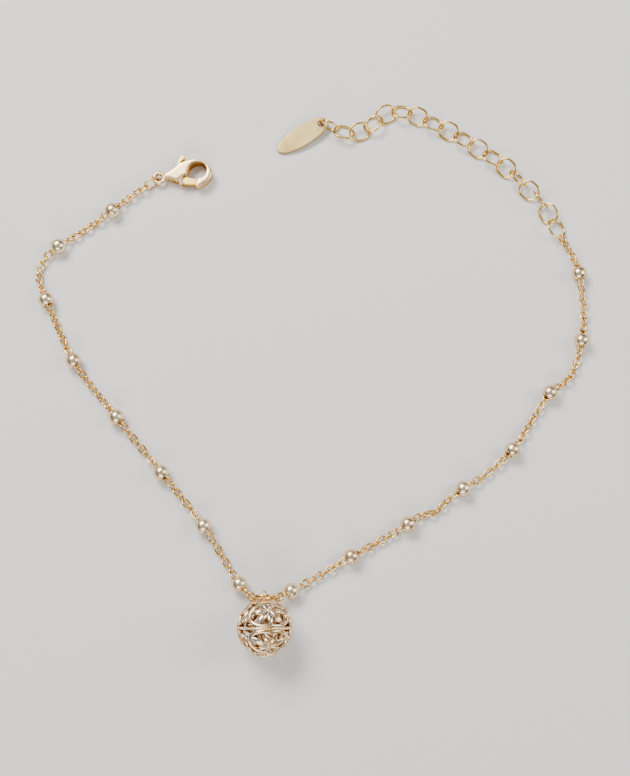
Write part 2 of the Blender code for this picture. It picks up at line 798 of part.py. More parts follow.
def claw_outline(pivot, gate_reach):
    """The claw's closed outline: back and hook, the nib and the mouth, the hole, and the belly."""
    face_radius = gate_reach + RUNNING_GAP
    low, high = claw(CLAW_NIB)[1], claw(CLAW_HOLE)[0]
    low_turn = math.atan2(low[1] - pivot[1], face_radius)
    high_turn = math.asin((high[1] - pivot[1]) / face_radius)
    mouth = arc_points(pivot, face_radius, low_turn, high_turn, 3)
    return claw(CLAW_BACK) + claw(CLAW_NIB) + mouth + claw(CLAW_HOLE) + claw(CLAW_BELLY)


def build_clasp(strand_route, end_height, body_metal, lever_metal, link_metal):
    """The oval end link, then the clasp whose eye it passes through."""
    direction = strand_route.direction(strand_route.length)
    start = strand_route.samples[-1]
    link = LinkShape(
        "clasp_end_link",
        CLASP_END_LINK_LENGTH,
        CLASP_END_LINK_WIDTH,
        CLASP_END_LINK_WIRE,
        link_metal,
    )
    middle = start + direction * (FACE_GAP + CLASP_END_LINK_LENGTH / 2)
    link.place("clasp_end_link", middle, end_height, direction, CLASP_END_LINK_ROLL)
    tip = middle + direction * link.half_length
    hooked = CLASP_EYE_RADIUS - (CLASP_END_LINK_WIRE + CLASP_EYE_WIRE) / 2 - RUNNING_GAP
    eye = tip + direction * hooked

    frame = add_object("clasp_frame", None, None)
    frame.matrix_local = Matrix.Translation((eye.x, eye.y, 0)) @ Matrix.Rotation(CLASP_HEADING, 4, "Z")
    pivot = tuple(CLASP_LENGTH * share for share in PIVOT_SHARE)
    tip_top, tip_bottom = claw((GATE_TIP_TOP_SHARE, GATE_TIP_BOTTOM_SHARE))
    gate_reach = max(math.dist(pivot, tip_top), math.dist(pivot, tip_bottom))

    outline = claw_outline(pivot, gate_reach)
    claw_solid = prism("clasp_body", outline, 0.0, CLASP_THICKNESS)
    body = add_object("clasp_body", claw_solid, body_metal, None, frame)
    bevel = body.modifiers.new("soft_edge", "BEVEL")
    bevel.width = CLASP_EDGE_BEVEL
    bevel.segments = 2
    bevel.limit_method = "ANGLE"
    bevel.angle_limit = math.radians(60)
    slot_low = pivot[0] - LEVER_HUB_DIAMETER / 2 - RUNNING_GAP
    slot_high = CLASP_LENGTH * SLOT_END_SHARE
    half_slot = LEVER_THICKNESS / 2 + RUNNING_GAP
    reach = CLASP_LENGTH / 2
    slot = prism(
        "lever_slot",
        [(slot_low, -reach), (slot_high, -reach), (slot_high, reach), (slot_low, reach)],
        CLASP_THICKNESS / 2 - half_slot,
        CLASP_THICKNESS / 2 + half_slot,
    )
    boolean(body, "DIFFERENCE", helper("lever_slot", slot, None, frame))
    cheek = CLASP_THICKNESS / 2 - half_slot
    pin = drum("lever_pin", LEVER_PIN_DIAMETER / 2, cheek / 2, CLASP_THICKNESS - cheek / 2, 12)
    boolean(body, "UNION", helper("lever_pin", pin, Matrix.Translation((*pivot, 0)), frame))
    ring = arc_points((0, 0), CLASP_EYE_RADIUS, 0.0, math.tau, 14)[:-1]
    eye_ring = torus_mesh("clasp_eye", ring, CLASP_EYE_WIRE / 2, 8)
    eye_place = Matrix.Translation((0, 0, CLASP_THICKNESS / 2))
    boolean(body, "UNION", helper("clasp_eye", eye_ring, eye_place, frame))

    build_lever(frame, pivot, tip_top, tip_bottom, gate_reach, lever_metal)


def build_lever(frame, pivot, tip_top, tip_bottom, gate_reach, metal):
    """The gate and its thumb peg round the pin, with the origin on the pin's axis."""
    low, high = (CLASP_THICKNESS - LEVER_THICKNESS) / 2, (CLASP_THICKNESS + LEVER_THICKNESS) / 2

    def from_pivot(points):
        return [(x - pivot[0], y - pivot[1]) for x, y in points]

    hub = drum("clasp_lever", LEVER_HUB_DIAMETER / 2, low, high, 16)
    lever = add_object("clasp_lever", hub, metal, Matrix.Translation((*pivot, 0)), frame)
    turns = [math.atan2(y - pivot[1], x - pivot[0]) for x, y in (tip_bottom, tip_top)]
    face = arc_points((0, 0), gate_reach, turns[0], turns[1], 3)
    outline = [(0.0, 0.0), *from_pivot(claw(GATE_BOTTOM_SHARES)[::-1]), *face]
    outline += from_pivot(claw(GATE_TOP_SHARES)[::-1])
    gate = prism("gate", outline, low, high)
    boolean(lever, "UNION", helper("gate", gate, Matrix.Translation((*pivot, 0)), frame))
    end = Vector(from_pivot(claw((PEG_END_SHARE,)))[0])
    along = end.normalized()
    across = Vector((-along.y, along.x)) * (LEVER_PEG_WIDTH / 2)
    turn = math.atan2(-across.y, -across.x)
    cap = arc_points(end - along * (LEVER_PEG_WIDTH / 2), LEVER_PEG_WIDTH / 2, turn, turn + math.pi, 6)
    peg_outline = [tuple(across), tuple(-across), *cap]
    peg = prism("peg", peg_outline, low, high)
    boolean(lever, "UNION", helper("peg", peg, Matrix.Translation((*pivot, 0)), frame))
    bore = drum("lever_bore", LEVER_PIN_DIAMETER / 2 + RUNNING_GAP, low - MM, high + MM, 16)
    boolean(lever, "DIFFERENCE", helper("lever_bore", bore, Matrix.Translation((*pivot, 0)), frame))


def main():
    clear_scene()
    pale_gold = gold("pale_gold_polished", (0.93, 0.73, 0.46), 0.18)
    warm_gold = gold("ball_gold", (0.95, 0.69, 0.38), 0.2)
    satin_gold = gold("clasp_satin_gold", (0.92, 0.74, 0.56), 0.32)
    yellow_gold = gold("extender_yellow_gold", (0.9, 0.78, 0.42), 0.2)
    matte_gold = gold("tag_matte_gold", (0.8, 0.7, 0.5), 0.42)

    left_join, right_join, join_height = build_pendant(warm_gold, pale_gold)
    bead_data = bead_mesh()
    bead_data.materials.append(pale_gold)
    clasp_height = CLASP_THICKNESS / 2
    left = build_strand("left", LEFT_STRAND, left_join, join_height, clasp_height, bead_data, pale_gold)
    right = build_strand(
        "right", RIGHT_STRAND, right_join, join_height, CHAIN_LAY_HEIGHT, bead_data, pale_gold
    )
    build_clasp(left, clasp_height, satin_gold, satin_gold, pale_gold)
    shape, route, joint, joint_height = build_extender(right, yellow_gold)
    build_tag(shape, route, joint, joint_height, matte_gold)


main()
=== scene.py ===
"""A lying anklet in pale gold: fine cable chain with drilled beads, an openwork ball on a ring,
a lobster clasp, and an extender chain with a leaf-shaped tag, on a plain pale floor.

Metres, +Z up, X to the right and Y away from the ball pendant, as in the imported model.
"""

from __future__ import annotations

import json
import logging
import math
from collections.abc import Callable, Iterator, Sequence
from contextlib import contextmanager
from dataclasses import dataclass
from enum import Enum

import bpy
import numpy as np
from mathutils import Matrix, Vector


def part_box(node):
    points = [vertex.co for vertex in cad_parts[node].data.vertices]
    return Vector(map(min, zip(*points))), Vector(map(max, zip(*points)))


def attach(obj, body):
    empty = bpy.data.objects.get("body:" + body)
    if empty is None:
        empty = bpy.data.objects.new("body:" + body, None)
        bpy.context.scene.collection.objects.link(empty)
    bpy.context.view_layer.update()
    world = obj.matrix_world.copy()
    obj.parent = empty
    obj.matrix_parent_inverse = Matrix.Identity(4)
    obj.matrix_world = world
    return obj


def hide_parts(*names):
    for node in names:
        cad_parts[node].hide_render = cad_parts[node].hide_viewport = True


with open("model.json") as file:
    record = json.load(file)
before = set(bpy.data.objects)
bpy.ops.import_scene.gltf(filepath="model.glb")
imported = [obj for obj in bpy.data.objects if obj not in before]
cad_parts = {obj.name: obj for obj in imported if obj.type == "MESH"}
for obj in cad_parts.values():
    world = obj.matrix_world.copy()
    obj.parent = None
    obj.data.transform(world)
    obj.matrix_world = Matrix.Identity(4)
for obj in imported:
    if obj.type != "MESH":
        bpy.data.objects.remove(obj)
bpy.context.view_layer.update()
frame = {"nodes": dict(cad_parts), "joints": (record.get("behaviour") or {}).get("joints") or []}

LOG = logging.getLogger("anklet")
MM = 0.001
ROOT_BODY = "anklet"
LEVER_BODY = "lever"

# The chosen points of the two strands, from the pendant outwards, in millimetres
LEFT_STRAND = (
    ("bead", -13.4, -41.9),
    ("bead", -20.3, -31.0),
    ("bead", -28.5, -20.8),
    ("bead", -37.4, -10.0),
    ("bead", -46.1, 1.2),
    ("bead", -52.0, 13.6),
    ("chain", -53.3, 16.6),
    ("chain", -53.9, 19.5),
    ("chain", -52.6, 22.4),
    ("bead", -50.1, 24.7),
    ("bead", -39.7, 32.2),
    ("chain", -37.6, 34.2),
    ("chain", -35.3, 35.9),
    ("chain", -33.6, 37.1),
)
RIGHT_STRAND = (
    ("bead", -3.7, -43.2),
    ("bead", 7.5, -36.8),
    ("bead", 18.2, -30.7),
    ("chain", 20.7, -28.9),
    ("chain", 23.6, -28.3),
    ("chain", 25.4, -26.4),
    ("bead", 28.8, -23.9),
    ("chain", 32.6, -21.5),
    ("bead", 38.4, -16.4),
    ("chain", 41.8, -11.4),
    ("bead", 46.0, -5.2),
    ("chain", 50.3, -1.7),
    ("bead", 52.6, 5.3),
    ("chain", 53.4, 12.0),
    ("bead", 52.7, 19.0),
    ("chain", 51.5, 23.3),
    ("chain", 49.8, 26.4),
)

# The claw's outline, as shares of its length from the middle of the eye
CLAW_BACK = (
    (0.105, 0.045),
    (0.165, 0.058),
    (0.300, 0.136),
    (0.393, 0.203),
    (0.555, 0.253),
    (0.733, 0.262),
    (0.880, 0.179),
    (0.970, 0.071),
    (1.000, -0.018),
    (0.965, -0.121),
    (0.891, -0.208),
    (0.790, -0.268),
    (0.700, -0.284),
)
CLAW_NIB = ((0.655, -0.282), (0.655, -0.260))
CLAW_HOLE = (
    (0.788, -0.120),
    (0.863, -0.066),
    (0.893, 0.048),
    (0.843, 0.142),
    (0.758, 0.180),
    (0.655, 0.160),
    (0.574, 0.080),
    (0.537, -0.030),
)
CLAW_BELLY = (
    (0.468, -0.055),
    (0.410, -0.090),
    (0.372, -0.112),
    (0.318, -0.128),
    (0.173, -0.052),
    (0.105, -0.045),
)


# Bench work: primitives, edit mode and copies


def clear_selection() -> None:
    """Leaves edit mode and deselects everything."""
    if bpy.context.mode != "OBJECT":
        bpy.ops.object.mode_set(mode="OBJECT")
    bpy.ops.object.select_all(action="DESELECT")


def pick(piece: bpy.types.Object) -> None:
    """Makes a piece the only selected and the active one.

    Args:
        piece: The object to select.
    """
    clear_selection()
    piece.select_set(True)
    bpy.context.view_layer.objects.active = piece


def named(name: str) -> bpy.types.Object:
    """Names the primitive that was just added.

    Args:
        name: The name for the object and its mesh.

    Returns:
        The new object.
    """
    piece = bpy.context.object
    piece.name = name
    piece.data.name = name
    return piece


@contextmanager
def editing(piece: bpy.types.Object, action: str = "DESELECT") -> Iterator[None]:
    """Opens a piece in edit mode and closes it again.

    Args:
        piece: The object to edit.
        action: What select_all does first, SELECT or DESELECT.

    Yields:
        Nothing; the block runs in edit mode.
    """
    pick(piece)
    bpy.ops.object.mode_set(mode="EDIT")
    bpy.ops.mesh.select_all(action=action)
    yield
    bpy.ops.object.mode_set(mode="OBJECT")


def remap(piece: bpy.types.Object, rule: Callable[[Vector], Vector]) -> None:
    """Moves every point of a piece by a rule.

    Args:
        piece: The object whose mesh changes.
        rule: Gives a point's new place from its old one.
    """
    for corner in piece.data.vertices:
        corner.co = rule(corner.co.copy())
    piece.data.update()


def face_out(piece: bpy.types.Object) -> None:
    """Merges doubles and turns the faces outwards.

    Args:
        piece: The object to mend.
    """
    with editing(piece, "SELECT"):
        bpy.ops.mesh.remove_doubles(threshold=1e-7)
        bpy.ops.mesh.normals_make_consistent(inside=False)


def smooth(piece: bpy.types.Object, angle: float = 35.0) -> None:
    """Shades a piece smooth but for its sharp edges.

    Args:
        piece: The object to shade.
        angle: The sharpest smooth edge, in degrees.
    """
    pick(piece)
    bpy.ops.object.shade_smooth_by_angle(angle=math.radians(angle))


def apply_modifiers(piece: bpy.types.Object) -> None:
    """Applies every modifier in order.

    Args:
        piece: The object that carries them.
    """
    pick(piece)
    for modifier in list(piece.modifiers):
        bpy.ops.object.modifier_apply(modifier=modifier.name)


def copy_at(piece: bpy.types.Object, name: str, place: Matrix) -> bpy.types.Object:
    """Copies a piece with its own mesh to a place.

    Args:
        piece: The pattern, modelled round the origin.
        name: The copy's name.
        place: Where the copy goes; it ends up in the mesh.

    Returns:
        The copy, its object at the origin.
    """
    mesh = piece.data.copy()
    mesh.name = name
    mesh.transform(place)
    copy = bpy.data.objects.new(name, mesh)
    bpy.context.scene.collection.objects.link(copy)
    return copy


def strung(name: str, pattern: bpy.types.Object, places: Sequence[Matrix]) -> bpy.types.Object:
    """Joins many copies of a small pattern in one mesh.

    Args:
        name: The joined piece's name.
        pattern: The modelled piece that repeats.
        places: Where each copy goes.

    Returns:
        The joined piece, its object at the origin.
    """
    corners = np.array([corner.co for corner in pattern.data.vertices])
    faces = [tuple(face.vertices) for face in pattern.data.polygons]
    points: list[np.ndarray] = []
    joined: list[tuple[int, ...]] = []
    for number, place in enumerate(places):
        turn = np.array(place)
        points.append(corners @ turn[:3, :3].T + turn[:3, 3])
        shift = number * len(corners)
        joined += [tuple(shift + index for index in face) for face in faces]
    mesh = bpy.data.meshes.new(name)
    mesh.from_pydata(np.concatenate(points).tolist(), [], joined)
    mesh.update()
    piece = bpy.data.objects.new(name, mesh)
    bpy.context.scene.collection.objects.link(piece)
    return piece


def join(pieces: Sequence[bpy.types.Object], name: str) -> bpy.types.Object:
    """Joins pieces into the first one.

    Args:
        pieces: The objects to join.
        name: The joined object's name.

    Returns:
        The joined object.
    """
    clear_selection()
    for piece in pieces:
        piece.select_set(True)
    bpy.context.view_layer.objects.active = pieces[0]
    bpy.ops.object.join()
    return named(name)


def discard(piece: bpy.types.Object) -> None:
    """Removes a pattern or cutter that is no longer needed."""
    bpy.data.objects.remove(piece, do_unlink=True)


def rounded(points: Sequence[tuple[float, float]], steps: int) -> list[tuple[float, float]]:
    """A smooth open run through plane points.

    Args:
        points: The points in order.
        steps: How many steps lie between two of them.

    Returns:
        The finer run, both ends included.
    """
    spots = [Vector(point) for point in points]
    line = [2 * spots[0] - spots[1], *spots, 2 * spots[-1] - spots[-2]]
    fine = [tuple(spots[0])]
    for p0, p1, p2, p3 in zip(line, line[1:], line[2:], line[3:]):
        for step in range(1, steps + 1):
            t = step / steps
            spot = 0.5 * (2 * p1 + (p2 - p0) * t + (2 * p0 - 5 * p1 + 4 * p2 - p3) * t**2)
            spot += 0.5 * (3 * p1 - p0 - 3 * p2 + p3) * t**3
            fine.append(tuple(spot))
    return fine


def arc(
    centre: Sequence[float], radius: float, start: float, end: float, steps: int
) -> list[tuple[float, float]]:
    """Plane points along an arc, both ends included.

    Args:
        centre: The arc's centre.
        radius: Its radius.
        start: The angle where it starts, in radians.
        end: The angle where it ends, in radians.
        steps: How many steps it has.

    Returns:
        The points in order.
    """
    angles = [start + (end - start) * step / steps for step in range(steps + 1)]
    return [(centre[0] + radius * math.cos(a), centre[1] + radius * math.sin(a)) for a in angles]


def plate(name: str, outline: Sequence[tuple[float, float]], low: float, high: float) -> bpy.types.Object:
    """An upright solid on an outline: a disc shaped to the outline, then extruded.

    Args:
        name: The piece's name.
        outline: Plane points in order.
        low: The height of its lower face.
        high: The height of its upper face.

    Returns:
        The solid.
    """
    clear_selection()
    bpy.ops.mesh.primitive_circle_add(vertices=len(outline), radius=MM, fill_type="NGON")
    piece = named(name)
    for corner, (x, y) in zip(piece.data.vertices, outline):
        corner.co = (x, y, low)
    with editing(piece, "SELECT"):
        bpy.ops.mesh.extrude_region_move(TRANSFORM_OT_translate={"value": (0, 0, high - low)})
    face_out(piece)
    return piece


def turned(name: str, profile: Sequence[tuple[float, float]], steps: int) -> bpy.types.Object:
    """A piece turned round the X axis from a closed profile.

    Args:
        name: The piece's name.
        profile: Points (along X, radius) in order.
        steps: How many steps the turn has.

    Returns:
        The turned piece.
    """
    clear_selection()
    bpy.ops.mesh.primitive_circle_add(vertices=len(profile), radius=MM, fill_type="NOTHING")
    piece = named(name)
    for corner, (x, radius) in zip(piece.data.vertices, profile):
        corner.co = (x, 0, radius)
    with editing(piece, "SELECT"):
        bpy.ops.mesh.spin(steps=steps, angle=math.tau, center=(0, 0, 0), axis=(1, 0, 0))
    face_out(piece)
    return piece


def cut(piece: bpy.types.Object, cutter: bpy.types.Object, operation: str = "DIFFERENCE") -> None:
    """Cuts or adds a solid with an applied Boolean and discards the other solid.

    Args:
        piece: The piece that changes.
        cutter: The other solid.
        operation: DIFFERENCE or UNION.
    """
    modifier = piece.modifiers.new("cut", "BOOLEAN")
    modifier.operation = operation
    modifier.solver = "EXACT"
    modifier.object = cutter
    apply_modifiers(piece)
    discard(cutter)


def softened(piece: bpy.types.Object, width: float, segments: int, angle: float = 50.0) -> None:
    """Rounds the sharp edges of a piece.

    Args:
        piece: The piece to round.
        width: The bevel's width.
        segments: How many faces round the edge.
        angle: The smallest edge angle that is rounded, in degrees.
    """
    modifier = piece.modifiers.new("soft_edge", "BEVEL")
    modifier.width = width
    modifier.segments = segments
    modifier.limit_method = "ANGLE"
    modifier.angle_limit = math.radians(angle)
    modifier.use_clamp_overlap = False
    apply_modifiers(piece)


def cast(piece: bpy.types.Object, grain: float, rounds: int) -> None:
    """Gives a solid the soft edges of a casting: an even fine skin, then smoothed.

    Args:
        piece: The solid that changes.
        grain: How far apart the points of the skin are.
        rounds: How many times the skin is smoothed.
    """
    skin = piece.modifiers.new("even_skin", "REMESH")
    skin.mode = "VOXEL"
    skin.voxel_size = grain
    soft = piece.modifiers.new("soft_skin", "SMOOTH")
    soft.factor = 0.5
    soft.iterations = rounds
    apply_modifiers(piece)


# Finishes

# The colour sockets of a Mix node: its share, its two colours and its result
MIX_SHARE, MIX_FIRST, MIX_SECOND, MIX_RESULT = 0, 6, 7, 2

# The part of a noise's range that is spread over a tone or a roughness
DRIFT_RANGE = (0.35, 0.68)
RUB_RANGE = (0.3, 0.7)

# How fine drawn marks are along X, Y and Z
HANDLING_MARKS = (9000.0, 700.0, 9000.0)
SATIN_MARKS = (16000.0, 1800.0, 9000.0)


class Sheen(Enum):
    """How the plating is finished; the value is the kind of grain that shows."""

    MIRROR = "handling_marks"
    SATIN = "satin_grain"
    MATTE = "blasted_grain"


class GroupMaker:
    """Makes shader node groups with named sockets, each only once."""

    def __init__(self) -> None:
        """Starts with no groups."""
        self.made: dict[str, bpy.types.ShaderNodeTree] = {}

    def open(self, name: str, inputs: dict[str, str], outputs: dict[str, str]) -> bpy.types.ShaderNodeTree:
        """Starts a group with its sockets.

        Args:
            name: The group's name.
            inputs: Socket names and their kinds, such as NodeSocketFloat.
            outputs: The same for the outputs.

        Returns:
            The new node tree.
        """
        tree = bpy.data.node_groups.new(name, "ShaderNodeTree")
        for label, kind in inputs.items():
            tree.interface.new_socket(label, in_out="INPUT", socket_type=kind)
        for label, kind in outputs.items():
            tree.interface.new_socket(label, in_out="OUTPUT", socket_type=kind)
        self.made[name] = tree
        return tree

    def noise(
        self,
        tree: bpy.types.NodeTree,
        vector: bpy.types.NodeSocket,
        scale: bpy.types.NodeSocket | float,
        detail: float,
    ) -> bpy.types.NodeSocket:
        """Adds a noise texture.

        Args:
            tree: The node tree.
            vector: What it reads.
            scale: Its scale, a number or a socket.
            detail: Its octaves.

        Returns:
            Its value output.
        """
        node = tree.nodes.new("ShaderNodeTexNoise")
        node.inputs["Detail"].default_value = detail
        tree.links.new(vector, node.inputs["Vector"])
        if isinstance(scale, float):
            node.inputs["Scale"].default_value = scale
        else:
            tree.links.new(scale, node.inputs["Scale"])
        return node.outputs["Fac"]

    def math(
        self, tree: bpy.types.NodeTree, operation: str, *values: bpy.types.NodeSocket | float
    ) -> bpy.types.NodeSocket:
        """Adds a Math node.

        Args:
            tree: The node tree.
            operation: The operation's name.
            values: Numbers or sockets, in order.

        Returns:
            Its output.
        """
        node = tree.nodes.new("ShaderNodeMath")
        node.operation = operation
        for slot, value in zip(node.inputs, values):
            if isinstance(value, (int, float)):
                slot.default_value = value
            else:
                tree.links.new(value, slot)
        return node.outputs[0]

    def span(
        self, tree: bpy.types.NodeTree, value: bpy.types.NodeSocket, limits: tuple[float, float, float, float]
    ) -> bpy.types.NodeSocket:
        """Adds a clamped Map Range.

        Args:
            tree: The node tree.
            value: What it reads.
            limits: From low, from high, to low and to high.

        Returns:
            Its output.
        """
        node = tree.nodes.new("ShaderNodeMapRange")
        tree.links.new(value, node.inputs["Value"])
        labels = ("From Min", "From Max", "To Min", "To Max")
        for label, number in zip(labels, limits):
            node.inputs[label].default_value = number
        return node.outputs["Result"]

    def tone_and_painted_shade(self) -> bpy.types.ShaderNodeTree:
        """Plating that drifts at random between two colours, mixed towards a painted shade colour where a mask
        says so.
        """
        if "tone_and_painted_shade" in self.made:
            return self.made["tone_and_painted_shade"]
        inputs = {
            "Vector": "NodeSocketVector",
            "Scale": "NodeSocketFloat",
            "Light": "NodeSocketColor",
            "Deep": "NodeSocketColor",
            "PaintedShade": "NodeSocketFloat",
            "Recess Color": "NodeSocketColor",
        }
        tree = self.open("tone_and_painted_shade", inputs, {"Color": "NodeSocketColor"})
        ends = tree.nodes.new("NodeGroupInput")
        out = tree.nodes.new("NodeGroupOutput")
        drift = self.noise(tree, ends.outputs["Vector"], ends.outputs["Scale"], 3.0)
        share = self.span(tree, drift, (*DRIFT_RANGE, 0.0, 1.0))
        tone = self.mix(tree, share, ends.outputs["Light"], ends.outputs["Deep"])
        # Painted shade: the tone is mixed towards the shade colour where the mask is 1
        deep = self.mix(tree, ends.outputs["PaintedShade"], tone, ends.outputs["Recess Color"])
        tree.links.new(deep, out.inputs["Color"])
        return tree

    def mix(
        self,
        tree: bpy.types.NodeTree,
        share: bpy.types.NodeSocket,
        first: bpy.types.NodeSocket,
        second: bpy.types.NodeSocket,
    ) -> bpy.types.NodeSocket:
        """Mixes two colours by a share.

        Args:
            tree: The node tree.
            share: How much of the second colour shows.
            first: The first colour.
            second: The second colour.

        Returns:
            The mixed colour.
        """
        node = tree.nodes.new("ShaderNodeMix")
        node.data_type = "RGBA"
        tree.links.new(share, node.inputs[MIX_SHARE])
        tree.links.new(first, node.inputs[MIX_FIRST])
        tree.links.new(second, node.inputs[MIX_SECOND])
        return node.outputs[MIX_RESULT]

    def painted_shade(self) -> bpy.types.ShaderNodeTree:
        """The painted shade's mask: 1 within a distance of a centre, fading out past it."""
        if "painted_shade" in self.made:
            return self.made["painted_shade"]
        inputs = {
            "Vector": "NodeSocketVector",
            "Centre": "NodeSocketVector",
            "Flatten": "NodeSocketVector",
            "Near": "NodeSocketFloat",
            "Far": "NodeSocketFloat",
        }
        tree = self.open("painted_shade", inputs, {"Mask": "NodeSocketFloat"})
        ends = tree.nodes.new("NodeGroupInput")
        out = tree.nodes.new("NodeGroupOutput")
        away = tree.nodes.new("ShaderNodeVectorMath")
        away.operation = "SUBTRACT"
        tree.links.new(ends.outputs["Vector"], away.inputs[0])
        tree.links.new(ends.outputs["Centre"], away.inputs[1])
        flat = tree.nodes.new("ShaderNodeVectorMath")
        flat.operation = "MULTIPLY"
        tree.links.new(away.outputs[0], flat.inputs[0])
        tree.links.new(ends.outputs["Flatten"], flat.inputs[1])
        length = tree.nodes.new("ShaderNodeVectorMath")
        length.operation = "LENGTH"
        tree.links.new(flat.outputs[0], length.inputs[0])
        ranged = tree.nodes.new("ShaderNodeMapRange")
        tree.links.new(length.outputs["Value"], ranged.inputs["Value"])
        tree.links.new(ends.outputs["Near"], ranged.inputs["From Min"])
        tree.links.new(ends.outputs["Far"], ranged.inputs["From Max"])
        ranged.inputs["To Min"].default_value = 1.0
        ranged.inputs["To Max"].default_value = 0.0
        tree.links.new(ranged.outputs["Result"], out.inputs["Mask"])
        return tree

    def grain(self, sheen: Sheen) -> bpy.types.ShaderNodeTree:
        """The fine relief of a finish.

        Args:
            sheen: Which finish it is.

        Returns:
            A group with a Height and a Rub output.
        """
        if sheen.value in self.made:
            return self.made[sheen.value]
        outputs = {"Height": "NodeSocketFloat", "Rub": "NodeSocketFloat"}
        tree = self.open(sheen.value, {"Vector": "NodeSocketVector"}, outputs)
        ends = tree.nodes.new("NodeGroupInput")
        out = tree.nodes.new("NodeGroupOutput")
        vector = ends.outputs["Vector"]
        if sheen is Sheen.MIRROR:
            height = self.scratches(tree, vector, HANDLING_MARKS, 0.6)
            rub = self.noise(tree, vector, 650.0, 4.0)
        elif sheen is Sheen.SATIN:
            height = self.scratches(tree, vector, SATIN_MARKS, 0.2)
            rub = self.noise(tree, vector, 900.0, 5.0)
        else:
            fine = self.noise(tree, vector, 14000.0, 4.0)
            broad = self.noise(tree, vector, 1500.0, 3.0)
            height = self.math(tree, "MULTIPLY_ADD", broad, 0.6, fine)
            rub = self.noise(tree, vector, 420.0, 5.0)
        tree.links.new(height, out.inputs["Height"])
        tree.links.new(rub, out.inputs["Rub"])
        return tree

    def scratches(
        self,
        tree: bpy.types.NodeTree,
        vector: bpy.types.NodeSocket,
        scale: tuple[float, float, float],
        turn: float,
    ) -> bpy.types.NodeSocket:
        """Fine marks drawn out along one direction.

        Args:
            tree: The node tree.
            vector: What it reads.
            scale: How fine the marks are along X, Y and Z.
            turn: How far they are turned about Z, in radians.

        Returns:
            Their height.
        """
        mapping = tree.nodes.new("ShaderNodeMapping")
        mapping.inputs["Rotation"].default_value = (0.0, 0.0, turn)
        mapping.inputs["Scale"].default_value = scale
        tree.links.new(vector, mapping.inputs["Vector"])
        return self.noise(tree, mapping.outputs["Vector"], 1.0, 4.0)


GROUPS = GroupMaker()


@dataclass(frozen=True)
class PaintedShade:
    """Where shade is painted into the plating's colour: within a distance of a centre, measured along some
    axes.
    """

    centre: tuple[float, float, float]
    near: float
    far: float
    flatten: tuple[float, float, float] = (1.0, 1.0, 1.0)


@dataclass(frozen=True)
class Finish:
    """One plated finish: its colours, with the colour of the shade painted into its hollows, how it shines and
    how strong its grain is.
    """

    name: str
    light: tuple[float, float, float]
    deep: tuple[float, float, float]
    edge_colour: tuple[float, float, float]
    painted_shade_colour: tuple[float, float, float]
    roughness: tuple[float, float]
    sheen: Sheen
    grain_height: float
    tone_scale: float = 260.0

    def material(self, recesses: Sequence[PaintedShade] = (), suffix: str = "") -> bpy.types.Material:
        """Makes the material.

        Args:
            recesses: Where shade is painted into the colour, round holes and inside hollows, if anywhere.
            suffix: Added to the name where one finish needs two materials.

        Returns:
            The material.
        """
        material = bpy.data.materials.new(self.name + suffix)
        material.use_nodes = True
        tree = material.node_tree
        shader = tree.nodes["Principled BSDF"]
        shader.inputs["Metallic"].default_value = 1.0
        shader.inputs["Specular Tint"].default_value = (*self.edge_colour, 1.0)
        place = tree.nodes.new("ShaderNodeTexCoord").outputs["Object"]

        tone = tree.nodes.new("ShaderNodeGroup")
        tone.node_tree = GROUPS.tone_and_painted_shade()
        tree.links.new(place, tone.inputs["Vector"])
        tone.inputs["Scale"].default_value = self.tone_scale
        tone.inputs["Light"].default_value = (*self.light, 1.0)
        tone.inputs["Deep"].default_value = (*self.deep, 1.0)
        tone.inputs["Recess Color"].default_value = (*self.painted_shade_colour, 1.0)
        # Painted shade round holes and inside hollows: the masks, joined by their maximum, mix the colour
        # towards the shade colour
        masks = []
        for painted_shade in recesses:
            shade = tree.nodes.new("ShaderNodeGroup")
            shade.node_tree = GROUPS.painted_shade()
            tree.links.new(place, shade.inputs["Vector"])
            shade.inputs["Centre"].default_value = painted_shade.centre
            shade.inputs["Flatten"].default_value = painted_shade.flatten
            shade.inputs["Near"].default_value = painted_shade.near
            shade.inputs["Far"].default_value = painted_shade.far
            masks.append(shade.outputs["Mask"])
        while len(masks) > 1:
            masks.append(GROUPS.math(tree, "MAXIMUM", masks.pop(), masks.pop()))
        for mask in masks:
            tree.links.new(mask, tone.inputs["PaintedShade"])
        tree.links.new(tone.outputs["Color"], shader.inputs["Base Color"])

        grain = tree.nodes.new("ShaderNodeGroup")
        grain.node_tree = GROUPS.grain(self.sheen)
        tree.links.new(place, grain.inputs["Vector"])
        rough = GROUPS.span(tree, grain.outputs["Rub"], (*RUB_RANGE, *self.roughness))
        tree.links.new(rough, shader.inputs["Roughness"])
        bump = tree.nodes.new("ShaderNodeBump")
        bump.inputs["Strength"].default_value = 1.0
        bump.inputs["Distance"].default_value = self.grain_height
        tree.links.new(grain.outputs["Height"], bump.inputs["Height"])
        tree.links.new(bump.outputs["Normal"], shader.inputs["Normal"])
        return material


